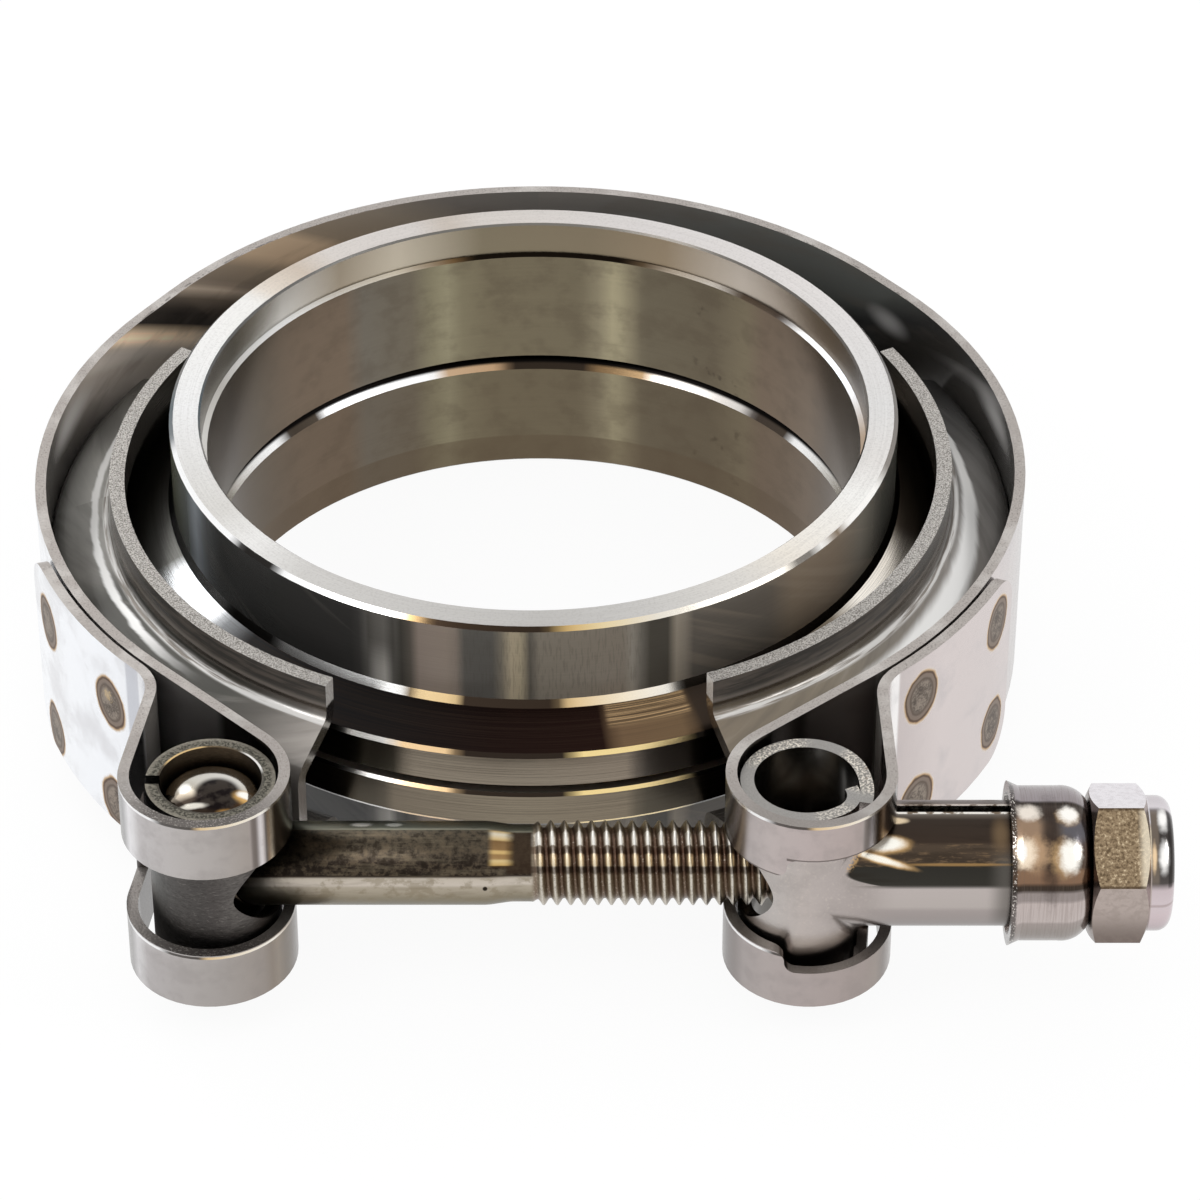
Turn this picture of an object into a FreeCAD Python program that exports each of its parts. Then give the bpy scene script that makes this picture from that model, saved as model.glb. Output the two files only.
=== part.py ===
import FreeCAD, Part
import math
import os

# V band clamp with its pair of pipe flanges, sizes in millimetres.
# The origin is on the pipe axis, in the middle of the joint between the flanges.
# The pipe axis is Z, the bolt runs along X in front of the flanges, on the -Y side.

# Flanges
BORE_RADIUS = 32.27
SOCKET_STEP = 0.53
SOCKET_DEPTH = 3.55
NECK_WALL = 3.58
RIM_WIDTH = 5.25
SOCKET_RADIUS = BORE_RADIUS + SOCKET_STEP
NECK_RADIUS = BORE_RADIUS + NECK_WALL
RIM_RADIUS = NECK_RADIUS + RIM_WIDTH
FLANK_ANGLE = 22.0
RIM_GAP = 0.8
RIM_EDGE_HEIGHT = 4.23
RIM_BREAK = 0.3
EDGE_CHAMFER = 0.4
NECK_FILLET = 0.5
UPPER_REACH = 15.2
LOWER_REACH = 14.9
SPIGOT_INSET = 0.95
SPIGOT_RADIUS = NECK_RADIUS - SPIGOT_INSET
SPIGOT_DROP = 1.2
SPIGOT_CLEARANCE = 0.1
SPIGOT_EDGE = 0.25
RECESS_CHAMFER = 1.5

# Retainer segments, folded to a V that squeezes the rims
RETAINER_THICKNESS = 1.5
RETAINER_ANGLE = 97.0
RETAINER_BEND = 1.6
RIM_CLEARANCE = 2.35
NECK_CLEARANCE = 1.45
FLANK_CLEARANCE = 0.1
LIP_SETBACK = 0.15
LEFT_RETAINER_END = 245.5
RIGHT_RETAINER_END = -67.8

# Strap, one strip with both ends folded round a trunnion and welded back
STRAP_WIDTH = 21.5
STRAP_THICKNESS = 1.05
STRAP_RADIUS = RIM_RADIUS + RIM_CLEARANCE + RETAINER_THICKNESS
LAYER_GAP = 0.3
LOOP_RADIUS = 7.33
BEND_RADIUS = 5.0
END_CORNER_RADIUS = 4.0
WELD_RADIUS = 2.2
WELD_BITE = 0.3

# Centres of the three welded segments, sprung apart with the bolt slack
LEFT_SPRING_X = -2.9
LEFT_SPRING_Y = -3.3
RIGHT_SPRING_X = 2.4
RIGHT_SPRING_Y = -2.0
BACK_SPRING_Y = 0.9
LEFT_CENTRE = (LEFT_SPRING_X, LEFT_SPRING_Y)
RIGHT_CENTRE = (RIGHT_SPRING_X, RIGHT_SPRING_Y)
BACK_CENTRE = (0, BACK_SPRING_Y)

# Folded ends
LEFT_BEND_ANGLE = 224.0
LEFT_END_ANGLE = 197.0
RIGHT_BEND_ANGLE = -47.0
RIGHT_END_ANGLE = -22.4
LEFT_WELD_ANGLES = (202.6, 218.6)
RIGHT_WELD_ANGLES = (-26.9, -43.4)
LEFT_WELD_TOP = 5.2
LEFT_WELD_BOTTOM = -7.9
RIGHT_WELD_TOP = 6.4
RIGHT_WELD_BOTTOM = -6.0

# Windows in the loops, for the bolt and for the tube of the right trunnion
BOLT_WINDOW_HEIGHT = 9.2
TUBE_WINDOW_HEIGHT = 13.4
WINDOW_CORNER = 1.0
WINDOW_SIDE_CLEARANCE = 0.9
TUBE_WINDOW_STEP = -2.4

# Bolt line and trunnions
BOLT_CLEARANCE = 6.45
BOLT_LINE_Y = -STRAP_RADIUS - BOLT_CLEARANCE
LEFT_LOOP_X = -29.5
RIGHT_LOOP_X = 25.8
TRUNNION_SHIFT = 0.55
TRUNNION_HEIGHT = 19.8
TRUNNION_RADIUS = 5.95
TRUNNION_WALL = 1.25
TRUNNION_SLIT = 1.2
SLOT_WIDTH = 11.2
SLOT_HEIGHT = 8.2

# Bolt
SHANK_RADIUS = 3.88
RELIEF_RADIUS = 3.57
THREAD_RADIUS = 3.88
SHANK_END_X = -3.6
THREAD_START_X = 0.2
THREAD_RUN_OUT = 0.5
BOLT_END_X = 58.6
BOLT_END_CHAMFER = 0.9
HEAD_RADIUS = 4.4
HEAD_LENGTH = 18.4
HEAD_CROWN = 1.6

# Right trunnion
TUBE_RADIUS = 5.8
TUBE_BORE_RADIUS = 4.55
JUNCTION_FILLET = 1.4
SEAM_WIDTH = 1.1
SEAM_SHIFT = 0.9
CURL_RADIUS = 2.5
CURL_START_ANGLE = -50.0
CURL_END_ANGLE = 25.0
TAIL_ANGLE = 20.0
TAIL_RADIUS = 9.0
TAIL_END_ANGLE = -13.0
BOLT_HOLE_WIDTH = 10.4
BOLT_HOLE_HEIGHT = 9.0

# Ferrule over the end of the tube, and the locking nut
FERRULE_START_X = 44.0
FERRULE_END_X = 51.45
FERRULE_FLARE_RADIUS = 7.6
FERRULE_RADIUS = 7.15
FERRULE_END_RADIUS = 5.6
FERRULE_WALL = 1.0
FERRULE_FLARE_LENGTH = 1.0
FERRULE_DOME_LENGTH = 2.9
FERRULE_HOLE_RADIUS = 4.2
TUBE_END_SETBACK = 1.3
NUT_ACROSS_FLATS = 13.0
NUT_HEX_HEIGHT = 5.2
NUT_HEIGHT = 7.5
NUT_CORNER_CHAMFER = 0.55
NUT_COLLAR_RADIUS = 6.25
NUT_COLLAR_ROUNDING = 1.3
NUT_BORE_RADIUS = 3.95
NUT_MOUTH_RADIUS = 4.6
NUT_TURN_ANGLE = 38.2
INSERT_RADIUS = 5.3
INSERT_HEIGHT = 2.2
INSERT_COVER = 0.35

Z_AXIS = FreeCAD.Vector(0, 0, 1)
X_AXIS = FreeCAD.Vector(1, 0, 0)


def polar(centre, radius, degrees):
    """Point in a plane at an angle round a centre."""
    angle = math.radians(degrees)
    return (centre[0] + radius * math.cos(angle), centre[1] + radius * math.sin(angle))


def in_plan(point):
    """Place a plane point in the X-Y plane."""
    return FreeCAD.Vector(point[0], point[1], 0)


def in_section(point):
    """Place a radius and height pair in the X-Z plane."""
    return FreeCAD.Vector(point[0], 0, point[1])


def arc(centre, radius, start, end):
    """Arc of a bent strip: the angle falls where the strip turns clockwise."""
    return {"centre": centre, "radius": radius, "start": start, "end": end}


def line(first, last):
    """Straight run of a bent strip."""
    return {"first": first, "last": last}


def shifted_ends(run, shift):
    """First and last point of a run, moved to the left of its travel."""
    if "centre" in run:
        turn = 1 if run["end"] > run["start"] else -1
        radius = run["radius"] - turn * shift
        first = polar(run["centre"], radius, run["start"])
        last = polar(run["centre"], radius, run["end"])
        return first, last
    along = (run["last"][0] - run["first"][0], run["last"][1] - run["first"][1])
    length = math.hypot(along[0], along[1])
    side = (-along[1] / length * shift, along[0] / length * shift)
    first = (run["first"][0] + side[0], run["first"][1] + side[1])
    last = (run["last"][0] + side[0], run["last"][1] + side[1])
    return first, last


def shifted_edge(run, shift, place):
    """Edge of a run, moved to the left of its travel."""
    first, last = shifted_ends(run, shift)
    if "centre" not in run:
        return Part.makeLine(place(first), place(last))
    turn = 1 if run["end"] > run["start"] else -1
    radius = run["radius"] - turn * shift
    middle = polar(run["centre"], radius, (run["start"] + run["end"]) / 2)
    return Part.Arc(place(first), place(middle), place(last)).toShape()


def strip_face(runs, thickness, place):
    """Face of a bent strip of even thickness that follows a middle line."""
    half = thickness / 2
    edges = [shifted_edge(run, half, place) for run in runs]
    far_last = shifted_ends(runs[-1], half)[1]
    near_last = shifted_ends(runs[-1], -half)[1]
    edges.append(Part.makeLine(place(far_last), place(near_last)))
    edges.extend(shifted_edge(run, -half, place) for run in reversed(runs))
    near_first = shifted_ends(runs[0], -half)[0]
    far_first = shifted_ends(runs[0], half)[0]
    edges.append(Part.makeLine(place(near_first), place(far_first)))
    wire = Part.Wire(Part.__sortEdges__(edges))
    return Part.Face(wire)


def rounded_runs(points, radius):
    """Runs of a strip bent at each inner point, all bends of one radius."""
    runs = []
    start = points[0]
    for before, corner, after in zip(points, points[1:], points[2:]):
        heading_in = math.atan2(corner[1] - before[1], corner[0] - before[0])
        heading_out = math.atan2(after[1] - corner[1], after[0] - corner[0])
        turn = (heading_out - heading_in + math.pi) % (2 * math.pi) - math.pi
        cut = radius * math.tan(abs(turn) / 2)
        bend_first = (corner[0] - cut * math.cos(heading_in), corner[1] - cut * math.sin(heading_in))
        bend_last = (corner[0] + cut * math.cos(heading_out), corner[1] + cut * math.sin(heading_out))
        side = math.copysign(math.pi / 2, turn)
        centre = (bend_first[0] + radius * math.cos(heading_in + side),
                  bend_first[1] + radius * math.sin(heading_in + side))
        arc_start = math.degrees(heading_in - side)
        runs.append(line(start, bend_first))
        runs.append(arc(centre, radius, arc_start, arc_start + math.degrees(turn)))
        start = bend_last
    runs.append(line(start, points[-1]))
    return runs


def crossing_tangent_angles(first_centre, first_radius, second_centre, second_radius):
    """The two possible angles on the first circle where a crossing tangent leaves it."""
    dx = second_centre[0] - first_centre[0]
    dy = second_centre[1] - first_centre[1]
    middle = math.degrees(math.atan2(dy, dx))
    spread = math.degrees(math.acos((first_radius + second_radius) / math.hypot(dx, dy)))
    return middle - spread, middle + spread


def outer_tangent_angle(first_centre, second_centre):
    """Angle where a line touches two circles of one radius, on the left of the way back."""
    dx = second_centre[0] - first_centre[0]
    dy = second_centre[1] - first_centre[1]
    return math.degrees(math.atan2(dy, dx)) + 90


def revolved(points, axis=Z_AXIS, degrees=360, place=in_section):
    """Solid turned from a closed outline."""
    outline = Part.makePolygon([place(point) for point in points + points[:1]])
    return Part.Face(outline).revolve(FreeCAD.Vector(), axis, degrees)


def box_between(low, high):
    """Box given by two corners."""
    size = [high[i] - low[i] for i in range(3)]
    return Part.makeBox(size[0], size[1], size[2], FreeCAD.Vector(low[0], low[1], low[2]))


def rod(radius, start_x, end_x):
    """Round bar on the bolt line."""
    base = FreeCAD.Vector(start_x, BOLT_LINE_Y, 0)
    return Part.makeCylinder(radius, end_x - start_x, base, X_AXIS)


def long_hole(width, height, start_x, end_x):
    """Cutter for a slot with round ends, lying across the bolt line."""
    reach = (width - height) / 2
    length = end_x - start_x
    ends = [Part.makeCylinder(height / 2, length, FreeCAD.Vector(start_x, BOLT_LINE_Y + side * reach, 0), X_AXIS)
            for side in (-1, 1)]
    middle = box_between((start_x, BOLT_LINE_Y - reach, -height / 2), (end_x, BOLT_LINE_Y + reach, height / 2))
    return ends[0].fuse([ends[1], middle]).removeSplitter()


def flank_height(radius):
    """Height of the sloping flank of a rim above the joint."""
    return RIM_EDGE_HEIGHT + (RIM_RADIUS - radius) * math.tan(math.radians(FLANK_ANGLE))


def flange_points(reach, joint_points):
    """Outline of a flange above the joint, from its outer foot up and down the bore."""
    rim_break_radius = RIM_RADIUS - RIM_BREAK
    socket_floor = reach - SOCKET_DEPTH
    neck_foot = flank_height(NECK_RADIUS)
    return joint_points + [
        (RIM_RADIUS - RIM_BREAK, RIM_GAP / 2),
        (RIM_RADIUS, RIM_GAP / 2 + RIM_BREAK),
        (RIM_RADIUS, RIM_EDGE_HEIGHT - RIM_BREAK),
        (rim_break_radius, flank_height(rim_break_radius)),
        (NECK_RADIUS + NECK_FILLET, flank_height(NECK_RADIUS + NECK_FILLET)),
        (NECK_RADIUS, neck_foot + NECK_FILLET),
        (NECK_RADIUS, reach - EDGE_CHAMFER),
        (NECK_RADIUS - EDGE_CHAMFER, reach),
        (SOCKET_RADIUS + EDGE_CHAMFER / 2, reach),
        (SOCKET_RADIUS, reach - EDGE_CHAMFER / 2),
        (SOCKET_RADIUS, socket_floor),
        (BORE_RADIUS, socket_floor - EDGE_CHAMFER / 2),
    ]


def upper_flange():
    """Flange with a spigot that drops into the lower one."""
    joint = [
        (BORE_RADIUS, -SPIGOT_DROP + SPIGOT_EDGE),
        (BORE_RADIUS + SPIGOT_EDGE, -SPIGOT_DROP),
        (SPIGOT_RADIUS - SPIGOT_EDGE, -SPIGOT_DROP),
        (SPIGOT_RADIUS, -SPIGOT_DROP + SPIGOT_EDGE),
        (SPIGOT_RADIUS, RIM_GAP / 2),
    ]
    return revolved(flange_points(UPPER_REACH, joint))


def lower_flange():
    """Flange with a recess for the spigot, turned upside down."""
    recess_radius = SPIGOT_RADIUS + SPIGOT_CLEARANCE
    joint = [
        (BORE_RADIUS, SPIGOT_DROP + RECESS_CHAMFER),
        (BORE_RADIUS + RECESS_CHAMFER, SPIGOT_DROP),
        (recess_radius, SPIGOT_DROP),
        (recess_radius, RIM_GAP / 2),
    ]
    points = [(radius, -height) for radius, height in flange_points(LOWER_REACH, joint)]
    return revolved(points)


def retainer(centre, first_angle):
    """Segment folded to a V, with upright lips, on the inside of the strap."""
    half = RETAINER_THICKNESS / 2
    slope = math.tan(math.radians(FLANK_ANGLE))
    rise = FLANK_CLEARANCE + half / math.cos(math.radians(FLANK_ANGLE))
    lip = NECK_RADIUS + NECK_CLEARANCE + half
    lip_height = STRAP_WIDTH / 2 - LIP_SETBACK
    back = STRAP_RADIUS - half
    lip_foot = RIM_EDGE_HEIGHT + (RIM_RADIUS - lip) * slope + rise
    back_edge = RIM_EDGE_HEIGHT + (RIM_RADIUS - back) * slope + rise
    middle_line = [
        (lip, lip_height),
        (lip, lip_foot),
        (back, back_edge),
        (back, -back_edge),
        (lip, -lip_foot),
        (lip, -lip_height),
    ]
    section = strip_face(rounded_runs(middle_line, RETAINER_BEND), RETAINER_THICKNESS, in_section)
    segment = section.revolve(FreeCAD.Vector(), Z_AXIS, RETAINER_ANGLE)
    segment.rotate(FreeCAD.Vector(), Z_AXIS, first_angle)
    segment.translate(in_plan(centre))
    return segment


def loop_runs(seat_centre, seat_angle, loop_centre, bend_angle, end_angle, side):
    """Middle line of one folded end, from the seat of the strap round the trunnion and back.

    The side is 1 for the right end, where the loop is travelled anticlockwise from the seat."""
    middle_radius = STRAP_RADIUS + STRAP_THICKNESS / 2
    layer_radius = middle_radius + STRAP_THICKNESS + LAYER_GAP
    bend_centre = polar(seat_centre, layer_radius + BEND_RADIUS, bend_angle)
    if side > 0:
        leave = crossing_tangent_angles(loop_centre, LOOP_RADIUS, bend_centre, BEND_RADIUS)[0]
        loop_start = seat_angle + 180
        loop_end = leave + 360
        bend_start = leave + 180
        bend_end = bend_angle + 180
    else:
        leave = crossing_tangent_angles(loop_centre, LOOP_RADIUS, bend_centre, BEND_RADIUS)[1]
        loop_start = seat_angle - 180
        loop_end = leave - 360
        bend_start = leave - 180
        bend_end = bend_angle - 180
    while side * (loop_end - loop_start) > 360:
        loop_end -= side * 360
    while side * (bend_start - bend_end) > 180:
        bend_start -= side * 360
    while side * (bend_start - bend_end) < 0:
        bend_start += side * 360
    seat_point = polar(seat_centre, middle_radius, seat_angle)
    loop_first = polar(loop_centre, LOOP_RADIUS, loop_start)
    loop_last = polar(loop_centre, LOOP_RADIUS, loop_end)
    bend_first = polar(bend_centre, BEND_RADIUS, bend_start)
    return [
        line(seat_point, loop_first),
        arc(loop_centre, LOOP_RADIUS, loop_start, loop_end),
        line(loop_last, bend_first),
        arc(bend_centre, BEND_RADIUS, bend_start, bend_end),
        arc(seat_centre, layer_radius, bend_angle, end_angle),
    ]


def reversed_runs(runs):
    """The same middle line, travelled the other way."""
    result = []
    for run in reversed(runs):
        if "centre" in run:
            result.append(arc(run["centre"], run["radius"], run["end"], run["start"]))
        else:
            result.append(line(run["last"], run["first"]))
    return result


def strap_runs():
    """Middle line of the whole strap, from the left folded end to the right one."""
    radius = STRAP_RADIUS + STRAP_THICKNESS / 2
    left_loop = (LEFT_LOOP_X, BOLT_LINE_Y)
    right_loop = (RIGHT_LOOP_X, BOLT_LINE_Y)
    left_seat = crossing_tangent_angles(LEFT_CENTRE, radius, left_loop, LOOP_RADIUS)[0] + 360
    right_seat = crossing_tangent_angles(RIGHT_CENTRE, radius, right_loop, LOOP_RADIUS)[1]
    left_facet = outer_tangent_angle(LEFT_CENTRE, BACK_CENTRE)
    right_facet = outer_tangent_angle(BACK_CENTRE, RIGHT_CENTRE)
    left_end = loop_runs(LEFT_CENTRE, left_seat, left_loop, LEFT_BEND_ANGLE, LEFT_END_ANGLE, -1)
    right_end = loop_runs(RIGHT_CENTRE, right_seat, right_loop, RIGHT_BEND_ANGLE, RIGHT_END_ANGLE, 1)
    body = [
        arc(LEFT_CENTRE, radius, left_seat, left_facet),
        line(polar(LEFT_CENTRE, radius, left_facet), polar(BACK_CENTRE, radius, left_facet)),
        arc(BACK_CENTRE, radius, left_facet, right_facet),
        line(polar(BACK_CENTRE, radius, right_facet), polar(RIGHT_CENTRE, radius, right_facet)),
        arc(RIGHT_CENTRE, radius, right_facet, right_seat),
    ]
    return reversed_runs(left_end) + body + right_end


def rounded_window(boxes):
    """Cutter for a window in a loop, with every corner rounded as seen along Y."""
    cutter = boxes[0]
    if len(boxes) > 1:
        cutter = boxes[0].fuse(boxes[1:]).removeSplitter()
    corners = [edge for edge in cutter.Edges
               if abs(edge.tangentAt(edge.FirstParameter).y) > 0.99]
    return cutter.makeFillet(WINDOW_CORNER, corners)


def strap():
    """Strap with its two folded and welded ends."""
    half_width = STRAP_WIDTH / 2
    face = strip_face(strap_runs(), STRAP_THICKNESS, in_plan)
    face.translate(FreeCAD.Vector(0, 0, -half_width))
    body = face.extrude(FreeCAD.Vector(0, 0, STRAP_WIDTH))
    end_points = [shifted_ends(run, 0)[end] for run, end in ((strap_runs()[0], 0), (strap_runs()[-1], 1))]
    corners = []
    for edge in body.Edges:
        middle = edge.CenterOfMass
        near_end = any(math.hypot(middle.x - p[0], middle.y - p[1]) < 0.1 for p in end_points)
        if near_end and abs(abs(middle.z) - half_width) < 0.01:
            corners.append(edge)
    body = body.makeFillet(END_CORNER_RADIUS, corners)
    loop_reach = LOOP_RADIUS + STRAP_THICKNESS
    front = BOLT_LINE_Y - loop_reach - 1
    bolt_back = BOLT_LINE_Y + SHANK_RADIUS + WINDOW_SIDE_CLEARANCE
    tube_back = BOLT_LINE_Y + TUBE_RADIUS + WINDOW_SIDE_CLEARANCE / 2
    bolt_top = BOLT_WINDOW_HEIGHT / 2
    tube_top = TUBE_WINDOW_HEIGHT / 2
    left_start, left_end = LEFT_LOOP_X - loop_reach, LEFT_LOOP_X + loop_reach
    right_start, right_end = RIGHT_LOOP_X - loop_reach, RIGHT_LOOP_X + loop_reach
    step_x = RIGHT_LOOP_X + TUBE_WINDOW_STEP
    windows = [
        rounded_window([box_between((left_start, front, -bolt_top), (left_end, bolt_back, bolt_top))]),
        rounded_window([box_between((right_start, front, -bolt_top), (right_end, BOLT_LINE_Y, bolt_top)),
                        box_between((step_x, front, -tube_top), (right_end, BOLT_LINE_Y, tube_top))]),
        box_between((right_start, BOLT_LINE_Y, -bolt_top), (RIGHT_LOOP_X, bolt_back, bolt_top)),
        box_between((RIGHT_LOOP_X, BOLT_LINE_Y, -tube_top), (right_end, tube_back, tube_top)),
    ]
    body = body.cut(windows)
    welds = []
    for centre, angles, heights in (
        (LEFT_CENTRE, LEFT_WELD_ANGLES, (LEFT_WELD_TOP, LEFT_WELD_BOTTOM)),
        (RIGHT_CENTRE, RIGHT_WELD_ANGLES, (RIGHT_WELD_TOP, RIGHT_WELD_BOTTOM)),
    ):
        for angle in angles:
            for height in heights:
                foot = polar(centre, STRAP_RADIUS + STRAP_THICKNESS - WELD_BITE, angle)
                base = FreeCAD.Vector(foot[0], foot[1], height)
                outward = in_plan(polar((0, 0), 1, angle))
                welds.append(Part.makeCylinder(WELD_RADIUS, LAYER_GAP + 2 * WELD_BITE, base, outward))
    return body.fuse(welds)


def left_trunnion():
    """Rolled tube in the left loop, slit at its back, with a slot for the bolt to swing in."""
    centre_x = LEFT_LOOP_X + TRUNNION_SHIFT
    base = FreeCAD.Vector(centre_x, BOLT_LINE_Y, -TRUNNION_HEIGHT / 2)
    outer = Part.makeCylinder(TRUNNION_RADIUS, TRUNNION_HEIGHT, base)
    bore = Part.makeCylinder(TRUNNION_RADIUS - TRUNNION_WALL, TRUNNION_HEIGHT, base)
    slit = box_between(
        (centre_x - TRUNNION_RADIUS - 1, BOLT_LINE_Y - TRUNNION_SLIT / 2, -TRUNNION_HEIGHT / 2),
        (centre_x, BOLT_LINE_Y + TRUNNION_SLIT / 2, TRUNNION_HEIGHT / 2),
    )
    slot = long_hole(SLOT_WIDTH, SLOT_HEIGHT, centre_x, centre_x + TRUNNION_RADIUS + 1)
    return outer.cut([bore, slit, slot])


def t_bolt():
    """Bolt with an upright round cross head, a plain shank and a threaded end."""
    head_x = LEFT_LOOP_X + TRUNNION_SHIFT
    base = FreeCAD.Vector(head_x, BOLT_LINE_Y, -HEAD_LENGTH / 2)
    head = Part.makeCylinder(HEAD_RADIUS, HEAD_LENGTH, base)
    rims = [edge for edge in head.Edges if edge.Closed and len(edge.Vertexes) == 1]
    rims = [edge for edge in rims if abs(abs(edge.CenterOfMass.z) - HEAD_LENGTH / 2) < 0.01]
    head = head.makeFillet(HEAD_CROWN, rims)
    points = [
        (head_x, 0),
        (head_x, SHANK_RADIUS),
        (SHANK_END_X, SHANK_RADIUS),
        (SHANK_END_X + SHANK_RADIUS - RELIEF_RADIUS, RELIEF_RADIUS),
        (THREAD_START_X, RELIEF_RADIUS),
        (THREAD_START_X + THREAD_RUN_OUT, THREAD_RADIUS),
        (BOLT_END_X - BOLT_END_CHAMFER, THREAD_RADIUS),
        (BOLT_END_X, THREAD_RADIUS - BOLT_END_CHAMFER),
        (BOLT_END_X, 0),
    ]
    shank = revolved(points, X_AXIS)
    shank.translate(FreeCAD.Vector(0, BOLT_LINE_Y, 0))
    return head.fuse(shank)


def right_trunnion():
    """Folded sheet: an upright rolled barrel that opens into a tube round the bolt."""
    centre_x = RIGHT_LOOP_X - TRUNNION_SHIFT
    centre = (centre_x, BOLT_LINE_Y)
    half_height = TRUNNION_HEIGHT / 2
    tube_end = FERRULE_END_X - FERRULE_WALL - TUBE_END_SETBACK
    base = FreeCAD.Vector(centre_x, BOLT_LINE_Y, -half_height)
    barrel = Part.makeCylinder(TRUNNION_RADIUS, TRUNNION_HEIGHT, base)
    tube = rod(TUBE_RADIUS, centre_x, tube_end)
    body = barrel.fuse(tube)
    joints = []
    for edge in body.Edges:
        kinds = [type(face.Surface).__name__ for face in body.ancestorsOfType(edge, Part.Face)]
        curved = not isinstance(edge.Curve, (Part.Line, Part.Circle))
        if kinds == ["Cylinder", "Cylinder"] and curved:
            joints.append(edge)
    body = body.makeFillet(JUNCTION_FILLET, joints)
    barrel_bore = Part.makeCylinder(TRUNNION_RADIUS - TRUNNION_WALL, TRUNNION_HEIGHT, base)
    tube_bore = rod(TUBE_BORE_RADIUS, centre_x, tube_end)
    body = body.cut([barrel_bore, tube_bore])

    # Above and below the tube the barrel is open, and its two edges overlap
    mouth_floor = TUBE_RADIUS + JUNCTION_FILLET
    middle_radius = TRUNNION_RADIUS - TRUNNION_WALL / 2
    mouth_edges = [polar(centre, 2 * TRUNNION_RADIUS, angle) for angle in (CURL_START_ANGLE, TAIL_ANGLE)]
    mouth = Part.Face(Part.makePolygon([in_plan(p) for p in (centre, mouth_edges[0], mouth_edges[1], centre)]))
    curl_centre = polar(centre, middle_radius - CURL_RADIUS, CURL_START_ANGLE)
    curl = strip_face([arc(curl_centre, CURL_RADIUS, CURL_START_ANGLE, CURL_END_ANGLE)], TRUNNION_WALL, in_plan)
    tail_centre = polar(centre, middle_radius - TAIL_RADIUS, TAIL_ANGLE)
    tail = strip_face([arc(tail_centre, TAIL_RADIUS, TAIL_ANGLE, TAIL_END_ANGLE)], TRUNNION_WALL, in_plan)
    for side in (-1, 1):
        cutter = mouth.extrude(FreeCAD.Vector(0, 0, half_height - mouth_floor))
        cutter.translate(FreeCAD.Vector(0, 0, mouth_floor if side > 0 else -half_height))
        body = body.cut(cutter)
        lap_floor = TUBE_RADIUS - TRUNNION_WALL / 2
        flaps = []
        for face in (curl, tail):
            flap = face.extrude(FreeCAD.Vector(0, 0, half_height - lap_floor))
            flap.translate(FreeCAD.Vector(0, 0, lap_floor if side > 0 else -half_height))
            flaps.append(flap)
        body = body.fuse(flaps)

    seam_y = BOLT_LINE_Y + SEAM_SHIFT
    seam = box_between((centre_x + TRUNNION_RADIUS, seam_y - SEAM_WIDTH / 2, 0),
                       (tube_end, seam_y + SEAM_WIDTH / 2, TUBE_RADIUS + 1))
    hole = long_hole(BOLT_HOLE_WIDTH, BOLT_HOLE_HEIGHT, centre_x - TRUNNION_RADIUS - 1, centre_x)
    return body.cut([seam, hole])


def ferrule_cap():
    """Flared cap over the end of the tube, which the nut bears on."""
    dome_start = FERRULE_END_X - FERRULE_DOME_LENGTH
    flare_end = FERRULE_START_X + FERRULE_FLARE_LENGTH
    drop = FERRULE_RADIUS - FERRULE_END_RADIUS
    knee_x = dome_start + 0.72 * FERRULE_DOME_LENGTH
    knee_radius = FERRULE_RADIUS - 0.36 * drop
    wall = FERRULE_WALL

    def at(x, radius):
        return FreeCAD.Vector(x, BOLT_LINE_Y + radius, 0)

    edges = [
        Part.makeLine(at(FERRULE_START_X, FERRULE_FLARE_RADIUS - wall), at(FERRULE_START_X, FERRULE_FLARE_RADIUS)),
        Part.makeLine(at(FERRULE_START_X, FERRULE_FLARE_RADIUS), at(flare_end, FERRULE_RADIUS)),
        Part.makeLine(at(flare_end, FERRULE_RADIUS), at(dome_start, FERRULE_RADIUS)),
        Part.Arc(at(dome_start, FERRULE_RADIUS), at(knee_x, knee_radius), at(FERRULE_END_X, FERRULE_END_RADIUS)).toShape(),
        Part.makeLine(at(FERRULE_END_X, FERRULE_END_RADIUS), at(FERRULE_END_X, FERRULE_HOLE_RADIUS)),
        Part.makeLine(at(FERRULE_END_X, FERRULE_HOLE_RADIUS), at(FERRULE_END_X - wall, FERRULE_HOLE_RADIUS)),
        Part.makeLine(at(FERRULE_END_X - wall, FERRULE_HOLE_RADIUS), at(FERRULE_END_X - wall, FERRULE_END_RADIUS - wall / 2)),
        Part.Arc(at(FERRULE_END_X - wall, FERRULE_END_RADIUS - wall / 2), at(knee_x - wall / 2, knee_radius - wall),
                 at(dome_start, FERRULE_RADIUS - wall)).toShape(),
        Part.makeLine(at(dome_start, FERRULE_RADIUS - wall), at(flare_end, FERRULE_RADIUS - wall)),
        Part.makeLine(at(flare_end, FERRULE_RADIUS - wall), at(FERRULE_START_X, FERRULE_FLARE_RADIUS - wall)),
    ]
    outline = Part.Wire(Part.__sortEdges__(edges))
    return Part.Face(outline).revolve(FreeCAD.Vector(0, BOLT_LINE_Y, 0), X_AXIS, 360)


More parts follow.
